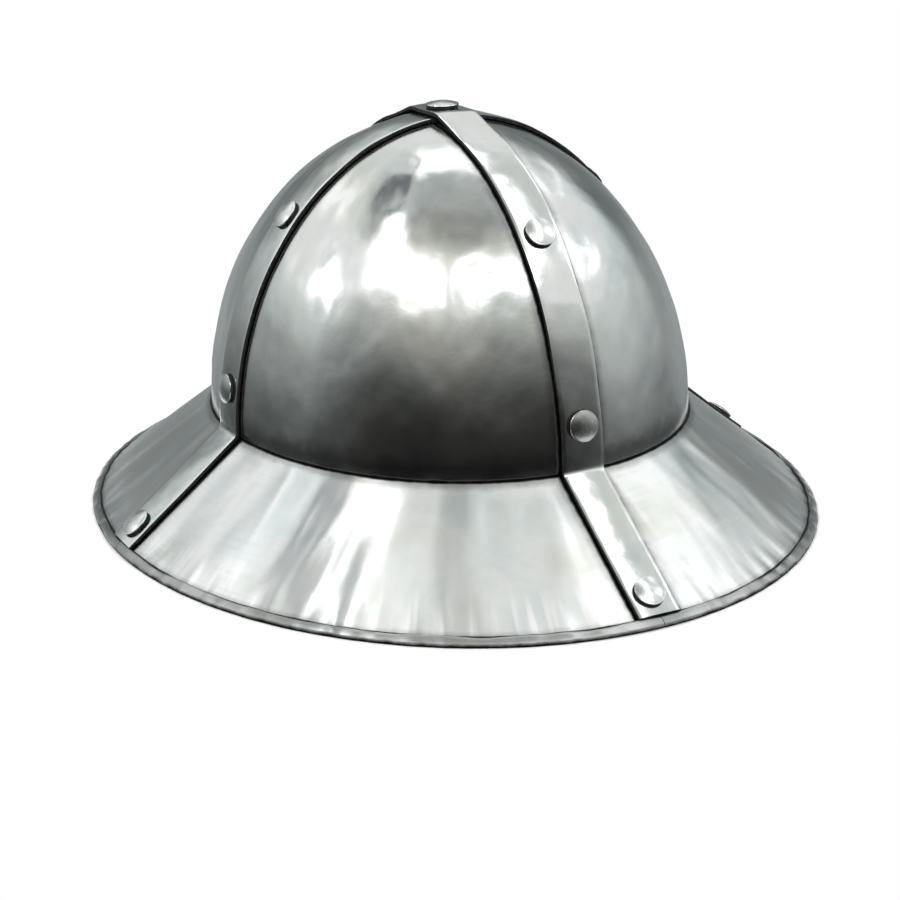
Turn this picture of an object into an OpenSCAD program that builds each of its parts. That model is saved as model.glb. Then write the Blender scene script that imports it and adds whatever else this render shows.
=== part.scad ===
// Kettle hat: four skull plates and four brim plates riveted under two crossed bands,
// with a leather liner and a chin strap inside. Millimetres. The brim stands on z = 0,
// the front faces -Y and the wearer's left is +X.

/* [Skull] */
// Outside length of the skull at the crease, front to back
skull_len = 244; // [230:1:255]
// Outside width of the skull at the crease, side to side
skull_wid = 217; // [205:1:228]
// Height of the skull above the crease
dome_h = 131; // [124:1:138]
// Thickness of the sheet steel in the plates
sheet_t = 1.5; // [1.2:0.1:1.6]
// How far a plate reaches past the seam, under the band
lap = 8; // [7:0.5:8.5]

/* [Brim] */
// Mean level width of the brim, from the crease to its edge
brim_w = 61; // [55:1:66]
// Height of the crease above the edge of the brim
crease_z = 46; // [42:1:50]
// Width of the hem, where the edge is turned over on itself
hem_w = 4.8; // [4.2:0.2:6]
// Height of the flange that stands up inside the skull
flange_h = 30; // [28:1:34]

/* [Bands] */
// Width of both bands
band_w = 19.6; // [18:0.2:22]
// Thickness of both bands
band_t = 2; // [1.6:0.1:2.2]

/* [Rivets] */
// Diameter of a rivet head
head_d = 13.6; // [12:0.2:15]
// Height of a rivet head
head_h = 3.2; // [2.6:0.1:3.6]
// Diameter of the head of the crown rivet
crown_d = 15; // [13:0.5:17]
// Diameter of the shanks
shank_d = 5; // [4:0.5:6]
// Height of the lower rivets above the crease
lower_h = 20.5; // [18:0.5:22]
// Height of the upper rivets above the crease
upper_h = 95; // [88:1:100]
// Place of the brim rivets, as a share of the brim's width
brim_share = 0.795; // [0.7:0.005:0.82]

/* [Liner] */
// Thickness of the leather
leather_t = 2.4; // [2:0.1:2.6]
// Height of the leather head band
liner_w = 32; // [28:1:36]
// Diameter of the crown patch
patch_d = 56; // [48:1:64]

/* [Chin strap] */
// Width of the strap
strap_w = 20; // [18:1:22]
// Length of the strap that lies folded back on itself
fold_len = 62; // [40:1:66]
// Diameter of the buckle's bar
bar_d = 3; // [2.6:0.1:3.2]
// Length of the buckle from bar to rail
buckle_len = 22; // [20:1:24]

/* [Hidden] */
fine = 240;
seat = 0.05;                             // gap between pieces that lie on each other
hole_gap = 0.1;                          // a rivet hole is this much wider than its shank
flat_cut = 0.25;                         // depth of the flat on which the hem stands
mean_r = sqrt(skull_len * skull_wid) / 2;
side_k = skull_wid / 2 / mean_r;         // stretch of the round plan along X
long_k = skull_len / 2 / mean_r;         // stretch of the round plan along Y
pitch = sheet_t + seat;                  // from one sheet to the sheet it lies on
butt = 0.3;                              // gap where two plates meet edge to edge
step_w = 1.5;                            // wall of a joggle, where a plate steps down
skull_step = lap + butt;                 // where the skull's lower plates step down
crown_hole_r = lap * sqrt(2) / side_k + 0.3; // the plates' corners are cut back at the crown

run = brim_w - sheet_t;
drop = crease_z + flat_cut - sheet_t;
slope_a = atan2(drop, run);
slope_l = sqrt(run * run + drop * drop);
hem_s = slope_l + sheet_t - hem_w;       // along the slope, where the hem begins
lap_s = hem_s - 3.4;                     // along the slope, where a brim lap ends
band_s = hem_s - 0.3;                    // along the slope, where the bands end
far_r = mean_r + brim_w + 20;
lap_a = 3;                               // the brim's seams in degrees: half a lap
hem_a = 0.12;                            // half the gap between two hems
step_a = 3.1;                            // where the lower plates step down
flange_a = 5.8;                          // where the flange steps in under the skull's lap
wall_a = 0.8;                            // width of each step's wall
high_z = crease_z + dome_h + 40;
crown_z = crease_z + dome_h + 2 * (band_t + seat);
hump_bend = 12;                          // bend at each end of the upper band's level stretch
hump_half = band_w / 2 + 2.5;            // half of that stretch, over the lower band
head_edge = 1.4;                         // height of a rivet head's side
peen_h = 1.4;

liner_d = 3 * pitch + sheet_t + 0.1;     // depth of the liner below the skull's surface
liner_z = crease_z + 10;
cap_r = mean_r - liner_d - leather_t + 1.75; // the tongues lie on the band's inside
cap_h = dome_h - 28;                     // air between the cap and the steel at the crown
tongues = 8;                             // they rise to the crown patch
tongue_z = crease_z + 34;                // lower end of the tongues
tongue_r = 9;                            // the tongues end this far from the middle
spacer_t = 1.2;
washer_t = 1;
washer_d = 12;

turn_fit = 0.15;                         // play on the diameter where a piece turns
strap_hang = 14;                         // straight length of a strap under its rivet
bend_r = 7;                              // where a strap turns along the table
table_gap = 0.8;                         // the straps hang this far over the table
strap_end = 11;                          // the straps keep this far from the middle
sewn_len = 20;                           // strap sewn down behind the buckle
slot_w = 6;                              // slot for the prong
hole_step = 9;                           // from one strap hole to the next
strap_hole_d = 3;
tip_len = 9;                             // the pointed tip
side_d = bar_d + 0.6;                    // sides of the buckle
rail_d = bar_d + 0.6;                    // rail on which the prong rests
corner_r = 4;                            // corners of the buckle at the rail
side_y = strap_w / 2 + 2.4;              // from the middle to the centre of a side
prong_d = 2.4;
eye_d = bar_d + turn_fit + 2 * leather_t; // outside of the fold round the bar
bar_x = strap_end + buckle_len + 5;
bar_z = table_gap + eye_d / 2;
keeper_x = bar_x + 26;
keeper_w = 10;
keeper_t = 2;

// Arms of the bands: turn about Z, stretch of the plan on that side
left_arm = [0, side_k];
rear_arm = [90, long_k];
right_arm = [180, side_k];
front_arm = [270, long_k];
arms = [front_arm, rear_arm, left_arm, right_arm];

// A point of the brim's section: s down the slope from the crease, n square to it
function on_slope(s, n) = [
    mean_r + s * cos(slope_a) + n * sin(slope_a),
    crease_z - s * sin(slope_a) + n * cos(slope_a)
];
// Height of the sloping surface n above the brim's top, at radius r
function slope_z(r, n) = crease_z + (mean_r - r) * tan(slope_a) + n / cos(slope_a);
function slope_angle(arm) = atan2(drop, run * arm[1]);

// The skull's surface grown by d, in the upright plane of one arm
function dome_rad(arm, h, d) = arm[1] * (mean_r + d) * sqrt(1 - pow(h / (dome_h + d), 2));
function dome_tilt(arm, h, d) =
    atan2(h / pow(dome_h + d, 2), dome_rad(arm, h, d) / pow(arm[1] * (mean_r + d), 2));
function tangent_dist(arm, tilt, d) =
    sqrt(pow(arm[1] * (mean_r + d) * cos(tilt), 2) + pow((dome_h + d) * sin(tilt), 2));
// How far the surface at d lies under the outside of the band, square to it
function depth(arm, h, d) = let (top = seat + band_t, tilt = dome_tilt(arm, h, top))
    tangent_dist(arm, tilt, top) - tangent_dist(arm, tilt, d);

// The oval plan of the hat, from a round one
module oval() { scale([side_k, long_k, 1]) children(); }

// Side views in the plane of one arm, with the plan stretched by k: the egg of the skull
// grown by d, and all that lies above the sloping line n over the brim's top
module egg(d, k = 1) {
    translate([0, crease_z]) scale([k * (mean_r + d), dome_h + d]) circle(r = 1, $fn = fine);
}
module over_slope(n, k = 1) {
    polygon([[0, high_z], [k * far_r, high_z], [k * far_r, slope_z(far_r, n)], [0, slope_z(0, n)]]);
}
module beyond(r) {
    translate([r, -50]) square([far_r, high_z + 50]);
}

// The quarter (sx, sy) of the round plan that lies more than edge from both seams
module quarter(sx, sy, edge) {
    x = edge / side_k;
    y = edge / long_k;
    translate([sx > 0 ? x : -x - 300, sy > 0 ? y : -y - 300, -50]) cube([300, 300, 300]);
}

// Moves its child to an arm's outside surface, with +Z square to the band
module on_dome(arm, h) {
    top = seat + band_t;
    rotate([0, 0, arm[0]]) translate([dome_rad(arm, h, top), 0, crease_z + h])
        rotate([0, 90 - dome_tilt(arm, h, top), 0]) children();
}
module on_brim(arm) {
    at = on_slope(brim_share * brim_w / cos(slope_a), seat + band_t);
    rotate([0, 0, arm[0]]) translate([arm[1] * at[0], 0, at[1]])
        rotate([0, slope_angle(arm), 0]) children();
}
module hole(deep = 24) {
    translate([0, 0, 4 - deep]) cylinder(d = shank_d + hole_gap, h = deep, $fn = 48);
}
function quarter_arms(sx, sy) =
    [sx > 0 ? left_arm : right_arm, sy > 0 ? rear_arm : front_arm];

// The skull between two depths below its surface, from the brim up to the crown hole
module skull_shell(outer, inner) {
    rotate_extrude($fn = fine) intersection() {
        difference() {
            egg(-outer);
            egg(-inner);
        }
        over_slope(seat);
        beyond(crown_hole_r);
    }
}
module skull_holes(sx, sy) {
    for (arm = quarter_arms(sx, sy)) {
        on_dome(arm, upper_h) hole();
        on_dome(arm, lower_h) hole();
    }
}

// A skull plate whose edges lie on top of its neighbours' edges
module upper_skull_plate(sx, sy) {
    color("silver") difference() {
        oval() intersection() {
            skull_shell(0, sheet_t);
            quarter(sx, sy, -lap);
        }
        skull_holes(sx, sy);
    }
}

// A skull plate whose edges step down by one sheet, so that the outside stays flush
module lower_skull_plate(sx, sy) {
    color("silver") difference() {
        oval() {
            intersection() {
                skull_shell(0, sheet_t);
                quarter(sx, sy, skull_step + step_w);
            }
            intersection() {
                skull_shell(0, pitch + sheet_t);
                difference() {
                    quarter(sx, sy, skull_step);
                    quarter(sx, sy, skull_step + step_w);
                }
            }
            intersection() {
                skull_shell(pitch, pitch + sheet_t);
                difference() {
                    quarter(sx, sy, -lap);
                    quarter(sx, sy, skull_step);
                }
            }
        }
        skull_holes(sx, sy);
    }
}

// Section of the flange, between its outer sheet level and its inner one
module flange_section(outer, inner) {
    intersection() {
        difference() {
            egg(-outer * pitch);
            egg(-inner * pitch - sheet_t);
        }
        translate([0, crease_z + 0.8]) square([far_r, flange_h]);
    }
}
// Section of the brim sheet from the flange's inside down the slope to s1. Its upper face
// is top under the brim's surface, and it is deep thick.
module slope_section(s1, top, deep, inner) {
    difference() {
        polygon([on_slope(-14, -top - deep), on_slope(s1, -top - deep),
                 on_slope(s1, -top), on_slope(-14, -top)]);
        egg(-inner * pitch - sheet_t);
    }
}
// The edge of the brim is turned over on itself
module hem_section(s0) {
    polygon([on_slope(s0, -sheet_t), on_slope(slope_l, -sheet_t),
             on_slope(slope_l, 0), on_slope(s0, 0)]);
    translate(on_slope(slope_l, 0)) circle(r = sheet_t, $fn = 48);
    polygon([on_slope(hem_s, -0.5), on_slope(slope_l, -0.5),
             on_slope(slope_l, sheet_t), on_slope(hem_s, sheet_t)]);
}
module turn(from, to) {
    rotate_extrude(start = from, angle = to - from, $fn = fine) children();
}
// Copies its child to both ends of a quarter turn
module both_ends() {
    children();
    rotate([0, 0, 90]) mirror([0, 1, 0]) children();
}
// The holes in a brim plate, and the flat on which its hem stands
module brim_cuts(sx, sy) {
    for (arm = quarter_arms(sx, sy)) {
        on_brim(arm) hole();
        on_dome(arm, lower_h) hole();
    }
    translate([-far_r, -far_r, -10]) cube([2 * far_r, 2 * far_r, 10]);
}
function quarter_start(sx, sy) = sx > 0 ? (sy > 0 ? 0 : 270) : (sy > 0 ? 90 : 180);

// A brim plate that lies on top at its seams. Its flange steps in under the skull's lap.
module upper_brim_plate(sx, sy) {
    color("silver") difference() {
        oval() rotate([0, 0, quarter_start(sx, sy)]) {
            both_ends() {
                turn(-lap_a, hem_a) {
                    flange_section(2, 2);
                    slope_section(lap_s, 0, sheet_t, 2);
                }
                turn(hem_a, flange_a) {
                    flange_section(2, 2);
                    slope_section(lap_s, 0, sheet_t, 2);
                    hem_section(lap_s);
                }
                turn(flange_a, flange_a + wall_a) {
                    flange_section(1, 2);
                    slope_section(lap_s, 0, sheet_t, 2);
                    hem_section(lap_s);
                }
            }
            turn(flange_a + wall_a, 90 - flange_a - wall_a) {
                flange_section(1, 1);
                slope_section(lap_s, 0, sheet_t, 1);
                hem_section(lap_s);
            }
        }
        brim_cuts(sx, sy);
    }
}

// A brim plate that steps down under its neighbours at both seams
module lower_brim_plate(sx, sy) {
    color("silver") difference() {
        oval() rotate([0, 0, quarter_start(sx, sy)]) {
            both_ends() {
                turn(-lap_a, hem_a) {
                    flange_section(3, 3);
                    slope_section(lap_s - butt, pitch, sheet_t, 3);
                }
                turn(hem_a, step_a) {
                    flange_section(3, 3);
                    slope_section(lap_s - butt, pitch, sheet_t, 3);
                    hem_section(lap_s + butt);
                }
                turn(step_a, step_a + wall_a) {
                    flange_section(3, 3);
                    slope_section(lap_s - butt, 0, sheet_t + pitch, 3);
                    hem_section(lap_s - butt);
                }
                turn(step_a + wall_a, flange_a) {
                    flange_section(3, 3);
                    slope_section(lap_s, 0, sheet_t, 3);
                    hem_section(lap_s);
                }
                turn(flange_a, flange_a + wall_a) {
                    flange_section(1, 3);
                    slope_section(lap_s, 0, sheet_t, 3);
                    hem_section(lap_s);
                }
            }
            turn(flange_a + wall_a, 90 - flange_a - wall_a) {
                flange_section(1, 1);
                slope_section(lap_s, 0, sheet_t, 1);
                hem_section(lap_s);
            }
        }
        brim_cuts(sx, sy);
    }
}

// Side view of half a band: over the skull, bent at the crease and down the brim
module band_outline(k) {
    intersection() {
        egg(seat + band_t, k);
        over_slope(seat + 0.5, k);
    }
    scale([k, 1]) polygon([on_slope(-8, seat), on_slope(band_s, seat),
        on_slope(band_s, seat + band_t), on_slope(-8, seat + band_t)]);
}
module strip() {
    // a flat strip of the band's width, from its side view
    rotate([90, 0, 0]) translate([0, 0, -band_w / 2]) linear_extrude(height = band_w) children();
}
module crown_hole() {
    cylinder(d = shank_d + hole_gap, h = high_z, $fn = 48);
}
module band_side_to_side() {
    color("gainsboro") difference() {
        strip() difference() {
            union() {
                band_outline(side_k);
                mirror([1, 0]) band_outline(side_k);
            }
            egg(seat, side_k);
        }
        for (arm = [left_arm, right_arm]) {
            on_dome(arm, upper_h) hole();
            on_dome(arm, lower_h) hole();
            on_brim(arm) hole();
        }
        crown_hole();
    }
}
// Side view of the hump that carries the upper band over the lower one: level at the crown,
// bent, and straight from there to where it runs into the skull grown by d
module hump(half, top, bend, d) {
    sink = 0.1;
    a = long_k * (mean_r + d - sink);
    b = dome_h + d - sink;
    corner = [half, top - crease_z];
    from = [corner[0] / a, corner[1] / b];
    touch = atan2(from[1], from[0]) - acos(1 / norm(from));
    foot = [a * cos(touch), b * sin(touch)];
    lean = atan2(corner[1] - foot[1], foot[0] - corner[0]);
    centre = corner - bend * [tan(lean / 2), 1];
    side = concat([for (i = [0:6]) centre + bend * [sin(lean * i / 6), cos(lean * i / 6)]], [foot]);
    translate([0, crease_z])
        polygon(concat(side, [for (i = [len(side) - 1:-1:0]) [-side[i][0], side[i][1]]]));
}
module band_front_to_back() {
    color("gainsboro") difference() {
        rotate([0, 0, 90]) difference() {
            union() {
                strip() {
                    band_outline(long_k);
                    mirror([1, 0]) band_outline(long_k);
                }
                strip() hump(hump_half, crown_z, hump_bend + band_t, seat + band_t);
            }
            strip() egg(seat, long_k);
            strip() hump(hump_half, crown_z - band_t, hump_bend, seat);
        }
        for (arm = [front_arm, rear_arm]) {
            on_dome(arm, upper_h) hole();
            on_dome(arm, lower_h) hole();
            on_brim(arm) hole();
        }
        crown_hole();
    }
}

// A low domed head outside, a shank as long as its grip and a peened end inside
module rivet(grip, wide = head_d) {
    rise = head_h - head_edge;
    cap = (wide * wide / 4 + rise * rise) / (2 * rise);
    color("silver") {
        rotate_extrude($fn = 64) intersection() {
            translate([0, head_h - cap]) circle(r = cap, $fn = 96);
            square([wide / 2, head_h]);
        }
        translate([0, 0, -grip - peen_h / 2]) cylinder(d = shank_d, h = grip + peen_h, $fn = 48);
        translate([0, 0, -grip - peen_h])
            cylinder(d1 = shank_d + 0.4, d2 = shank_d + 3.4, h = peen_h, $fn = 48);
    }
}
module upper_rivet(arm) {
    on_dome(arm, upper_h) rivet(depth(arm, upper_h, -pitch - sheet_t) + 0.2);
}
module brim_rivet(arm) {
    on_brim(arm) rivet(band_t + 2 * pitch + 0.25);
}
function liner_face(arm) = depth(arm, lower_h, -liner_d - leather_t) + 0.2;
function strap_face(arm) = liner_face(arm) + spacer_t + seat;
module lower_rivet(arm) {
    under = arm[1] == side_k ? strap_face(arm) + leather_t + seat : liner_face(arm);
    on_dome(arm, lower_h) rivet(under + washer_t + seat);
}
module washer(arm, from, thick) {
    color("silver") on_dome(arm, lower_h) translate([0, 0, -from - thick]) difference() {
        cylinder(d = washer_d, h = thick, $fn = 64);
        translate([0, 0, -1]) cylinder(d = shank_d + hole_gap, h = thick + 2, $fn = 48);
    }
}

// The head band of the liner is held by the four lower rivets
module liner_band() {
    color("saddlebrown") difference() {
        oval() rotate_extrude($fn = fine) intersection() {
            difference() {
                egg(-liner_d);
                egg(-liner_d - leather_t);
            }
            translate([0, liner_z]) square([far_r, liner_w]);
        }
        for (arm = arms) on_dome(arm, lower_h) hole(deep = 30);
    }
}
// The cap inside the liner hangs clear of the steel, so that the head never touches it
module cap_side(d) {
    translate([0, crease_z]) scale([cap_r - d, cap_h - d]) circle(r = 1, $fn = fine);
}
module liner_tongue(i) {
    color("peru") intersection() {
        oval() rotate_extrude($fn = fine) intersection() {
            difference() {
                cap_side(0);
                cap_side(leather_t);
            }
            translate([tongue_r, tongue_z]) square([far_r, high_z]);
        }
        // narrow at the crown, and full width from the shoulder down
        rotate([0, 0, (i + 0.5) * 360 / tongues]) linear_extrude(height = high_z)
            polygon([[tongue_r, -3], [60, -20], [92, -34], [125, -34],
                     [125, 34], [92, 34], [60, 20], [tongue_r, 3]]);
    }
}
module liner_crown_patch() {
    ball_r = pow(side_k * cap_r, 2) / cap_h; // as round as the cap is from side to side
    color("sienna") translate([0, 0, crease_z + cap_h - leather_t - seat - ball_r])
        rotate_extrude($fn = fine) intersection() {
            difference() {
                circle(r = ball_r, $fn = fine);
                circle(r = ball_r - leather_t, $fn = fine);
            }
            square([patch_d / 2, ball_r]);
        }
}

// Side view of a strap: along the wall past its rivet, down, and in along the table
strap_tilt = dome_tilt(left_arm, lower_h, seat + band_t);
strap_in = strap_face(left_arm) + leather_t / 2;
strap_down = [sin(strap_tilt), -cos(strap_tilt)];
strap_pivot = [dome_rad(left_arm, lower_h, seat + band_t), crease_z + lower_h]
    - strap_in * [cos(strap_tilt), sin(strap_tilt)];
strap_foot = strap_pivot + strap_hang * strap_down;
strap_low = table_gap + leather_t / 2;
strap_turn = [for (a = [0:15:90])
    [strap_foot[0] - bend_r * (1 - cos(a)), strap_low + bend_r * (1 - sin(a))]];

// Outline of a ribbon of thickness t along a line of points
function side_of(p, i, w) = let (
    a = p[max(i - 1, 0)], b = p[min(i + 1, len(p) - 1)], d = b - a, l = norm(d))
    p[i] + [-d[1], d[0]] * w / l;
function ribbon(p, t) = concat(
    [for (i = [0:len(p) - 1]) side_of(p, i, t / 2)],
    [for (i = [len(p) - 1:-1:0]) side_of(p, i, -t / 2)]);
module strap_strip() {
    // a flat strip of the strap's width, from its side view
    rotate([90, 0, 0]) translate([0, 0, -strap_w / 2]) linear_extrude(height = strap_w) children();
}
// A strap on the left side, from its round end at the rivet to x = inner_end on the table
module strap_side(inner_end) {
    reach = 60;
    top = strap_pivot - strap_w / 2 * strap_down;
    difference() {
        strap_strip() polygon(ribbon(
            concat([top, strap_foot], strap_turn, [[inner_end, strap_low]]), leather_t));
        on_dome(left_arm, lower_h) {
            translate([0, 0, -reach]) difference() {
                translate([-strap_w, -strap_w, 0]) cube([strap_w, 2 * strap_w, reach]);
                cylinder(d = strap_w, h = reach, $fn = 64);
            }
            translate([0, 0, -reach]) cylinder(d = shank_d + turn_fit, h = reach, $fn = 48);
        }
    }
}

// The buckle's strap goes round the bar and is sewn down on itself
module strap_left() {
    slot_ahead = 10;
    slot_behind = 7;
    color("saddlebrown") difference() {
        union() {
            strap_side(bar_x);
            strap_strip() {
                translate([bar_x, bar_z]) circle(d = eye_d, $fn = 64);
                polygon([[bar_x, bar_z], [bar_x + 1, table_gap + 1],
                    [bar_x + sewn_len, table_gap + 1],
                    [bar_x + sewn_len, table_gap + 2 * leather_t],
                    [bar_x + sewn_len - 8, table_gap + 2 * leather_t],
                    [bar_x, table_gap + eye_d]]);
            }
        }
        translate([bar_x, strap_w, bar_z]) rotate([90, 0, 0])
            cylinder(d = bar_d + turn_fit, h = 2 * strap_w, $fn = 48);
        translate([bar_x - slot_ahead, -slot_w / 2, table_gap - 1])
            cube([slot_ahead + slot_behind, slot_w, 20]);
    }
}
// The pierced strap, built on the left and turned to the right, lies folded on itself
module strap_right() {
    fold_r = leather_t / 2 + 0.4;
    fold_x = strap_end + fold_r + leather_t / 2;
    tip_x = strap_end + fold_len;
    top_z = strap_low + 2 * fold_r;
    fold = [for (a = [0:20:180]) [fold_x - fold_r * sin(a), strap_low + fold_r * (1 - cos(a))]];
    color("saddlebrown") rotate([0, 0, 180]) difference() {
        union() {
            strap_side(fold_x);
            strap_strip() polygon(ribbon(concat(fold, [[tip_x, top_z]]), leather_t));
        }
        for (m = [-1, 1]) translate([tip_x, m * strap_w / 2, strap_low + fold_r])
            linear_extrude(height = 20) polygon([[1, 0], [1, -m * strap_w / 2], [-tip_len, 0]]);
        for (i = [0:3]) translate([tip_x - 2 * tip_len - i * hole_step, 0, top_z - leather_t])
            cylinder(d = strap_hole_d, h = 2 * leather_t, $fn = 32);
    }
}
// A leather loop round the buckle's strap
module strap_keeper() {
    play = 0.3;
    wall = keeper_t - play;
    color("saddlebrown") translate([keeper_x, 0, 0]) difference() {
        translate([-keeper_w / 2, -strap_w / 2 - keeper_t, 0.1])
            cube([keeper_w, strap_w + 2 * keeper_t, table_gap + leather_t + wall]);
        translate([-keeper_w, -strap_w / 2 - play, table_gap - 0.1])
            cube([2 * keeper_w, strap_w + 2 * play, leather_t + 0.2]);
    }
}

// Flat on the table: a bar that the strap goes round, two sides and a rail, with the
// corners at the rail bent round and the sides' free ends past the bar
module buckle_frame() {
    end_past = 2.6;
    corner_x = bar_x - buckle_len + corner_r;
    rail_half = side_y - corner_r;
    color("silver") translate([0, 0, bar_z]) {
        translate([bar_x, side_y, 0]) rotate([90, 0, 0])
            cylinder(d = bar_d, h = 2 * side_y, $fn = 48);
        translate([bar_x - buckle_len, rail_half, 0]) rotate([90, 0, 0])
            cylinder(d = rail_d, h = 2 * rail_half, $fn = 48);
        for (m = [0, 1]) mirror([0, m, 0]) {
            translate([corner_x, side_y, 0]) rotate([0, 90, 0])
                cylinder(d = side_d, h = bar_x + end_past - corner_x, $fn = 48);
            translate([corner_x, rail_half, 0])
                rotate_extrude(start = 90, angle = 90, $fn = 96)
                    translate([corner_r, 0]) circle(d = side_d, $fn = 48);
        }
    }
}
// The prong turns on the bar, and its tip rests on the rail
module buckle_prong() {
    boss_d = bar_d + 3.2;
    boss_w = slot_w - 2;
    lean = asin((rail_d / 2 + prong_d / 2 + seat) / buckle_len);
    color("silver") translate([bar_x, 0, bar_z]) difference() {
        union() {
            rotate([90, 0, 0]) translate([0, 0, -boss_w / 2])
                cylinder(d = boss_d, h = boss_w, $fn = 48);
            rotate([0, -90 + lean, 0]) cylinder(d = prong_d, h = buckle_len + 3, $fn = 32);
        }
        rotate([90, 0, 0]) translate([0, 0, -slot_w / 2])
            cylinder(d = bar_d + hole_gap, h = slot_w, $fn = 48);
    }
}

upper_skull_plate(1, -1);  // skull_front_left
lower_skull_plate(-1, -1);  // skull_front_right
lower_skull_plate(1, 1);  // skull_rear_left
upper_skull_plate(-1, 1);  // skull_rear_right
upper_brim_plate(1, -1);  // brim_front_left
lower_brim_plate(-1, -1);  // brim_front_right
lower_brim_plate(1, 1);  // brim_rear_left
upper_brim_plate(-1, 1);  // brim_rear_right
band_side_to_side();
band_front_to_back();
translate([0, 0, crown_z]) rivet(2 * band_t + seat + 0.1, crown_d);  // rivet_crown
upper_rivet(front_arm);  // rivet_front_upper
upper_rivet(rear_arm);  // rivet_rear_upper
upper_rivet(left_arm);  // rivet_left_upper
upper_rivet(right_arm);  // rivet_right_upper
lower_rivet(front_arm);  // rivet_front_lower
lower_rivet(rear_arm);  // rivet_rear_lower
lower_rivet(left_arm);  // rivet_left_lower
lower_rivet(right_arm);  // rivet_right_lower
brim_rivet(front_arm);  // rivet_front_brim
brim_rivet(rear_arm);  // rivet_rear_brim
brim_rivet(left_arm);  // rivet_left_brim
brim_rivet(right_arm);  // rivet_right_brim
washer(front_arm, liner_face(front_arm), washer_t);  // washer_front
washer(rear_arm, liner_face(rear_arm), washer_t);  // washer_rear
washer(left_arm, strap_face(left_arm) + leather_t + seat, washer_t);  // washer_left
washer(right_arm, strap_face(right_arm) + leather_t + seat, washer_t);  // washer_right
washer(left_arm, liner_face(left_arm), spacer_t);  // spacer_left
washer(right_arm, liner_face(right_arm), spacer_t);  // spacer_right
liner_band();
liner_tongue(0);  // liner_tongue_1
liner_tongue(1);  // liner_tongue_2
liner_tongue(2);  // liner_tongue_3
liner_tongue(3);  // liner_tongue_4
liner_tongue(4);  // liner_tongue_5
liner_tongue(5);  // liner_tongue_6
liner_tongue(6);  // liner_tongue_7
liner_tongue(7);  // liner_tongue_8
liner_crown_patch();
strap_left();
strap_right();
strap_keeper();
buckle_frame();
buckle_prong();
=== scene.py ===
import math

import bpy
import numpy as np
from mathutils import Matrix, Vector


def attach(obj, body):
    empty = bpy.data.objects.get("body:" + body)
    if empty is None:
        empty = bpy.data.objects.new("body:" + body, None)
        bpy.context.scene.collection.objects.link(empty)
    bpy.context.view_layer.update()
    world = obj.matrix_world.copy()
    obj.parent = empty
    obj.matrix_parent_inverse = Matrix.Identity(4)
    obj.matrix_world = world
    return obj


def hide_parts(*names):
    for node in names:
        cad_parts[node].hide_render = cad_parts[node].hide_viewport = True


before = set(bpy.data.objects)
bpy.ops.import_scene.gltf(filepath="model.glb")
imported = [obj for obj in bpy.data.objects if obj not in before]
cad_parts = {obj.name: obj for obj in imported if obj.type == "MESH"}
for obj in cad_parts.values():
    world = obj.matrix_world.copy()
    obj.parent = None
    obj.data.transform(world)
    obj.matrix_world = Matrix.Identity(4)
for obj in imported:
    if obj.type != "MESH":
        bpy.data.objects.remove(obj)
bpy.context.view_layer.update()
mm = 0.001               # the shapes below are worked out in millimetres

hat = {
    "skullLength": 244, "skullWidth": 217, "domeHeight": 131,
    "sheet": 1.5, "seat": 0.05, "flatCut": 0.25,
    "brimWidth": 61, "creaseHeight": 46, "hemWidth": 4.8, "flangeHeight": 30,
    "bandWidth": 19.6, "bandThickness": 2, "humpBend": 12, "humpLevel": 2.5, "humpSink": 0.1,
    "lowerRivets": 20.5, "upperRivets": 95, "brimRivets": 0.795,
    "leather": 2.4, "linerHeight": 32, "linerFrom": 10, "capGap": 28, "capGrown": 1.75,
}
sheet, seat, crease, leather = hat["sheet"], hat["seat"], hat["creaseHeight"], hat["leather"]
domeHeight, bandThickness = hat["domeHeight"], hat["bandThickness"]
pitch = sheet + seat
meanRadius = math.sqrt(hat["skullLength"] * hat["skullWidth"]) / 2
sideStretch = hat["skullWidth"] / 2 / meanRadius
longStretch = hat["skullLength"] / 2 / meanRadius
slopeRun = hat["brimWidth"] - sheet
slopeDrop = crease + hat["flatCut"] - sheet
slopeAngle = math.atan2(slopeDrop, slopeRun)
slopeLength = math.hypot(slopeRun, slopeDrop)
hemStart = slopeLength + sheet - hat["hemWidth"]
bandEnd = hemStart - 0.3
halfBand = hat["bandWidth"] / 2
crownHeight = crease + domeHeight + 2 * (bandThickness + seat)
linerDepth = 3 * pitch + sheet + 0.1
capRadius = meanRadius - linerDepth - leather + hat["capGrown"]
capHeight = domeHeight - hat["capGap"]
arms = {"left": (0, sideStretch), "rear": (90, longStretch),
        "right": (180, sideStretch), "front": (270, longStretch)}
quarters = {                                 # where each quarter starts, and whether it lies on top
    "front_left": (270, True), "front_right": (180, False), "rear_left": (0, False), "rear_right": (90, True)}


def smooth(x, start=0, end=1):               # 0 before the start, 1 after the end
    t = np.clip((x - start) / (end - start), 0, 1)
    return t * t * (3 - 2 * t)


def unit(vectors):
    return vectors / np.linalg.norm(vectors, axis=-1, keepdims=True)


def outwards(turn, along, up):               # a vector at a side of the hat, out along it and up
    return Vector((along * math.cos(math.radians(turn)), along * math.sin(math.radians(turn)), up))


def onSlope(s, n):       # s down the brim from the crease, n square to it: radius, height
    return (meanRadius + s * math.cos(slopeAngle) + n * math.sin(slopeAngle),
            crease - s * math.sin(slopeAngle) + n * math.cos(slopeAngle))


def ellipsePoint(angle, radius, height):     # on the stretched plan, all in millimetres
    return np.stack(np.broadcast_arrays(sideStretch * radius * np.cos(angle),
                                        longStretch * radius * np.sin(angle), height), axis=-1)


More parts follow.
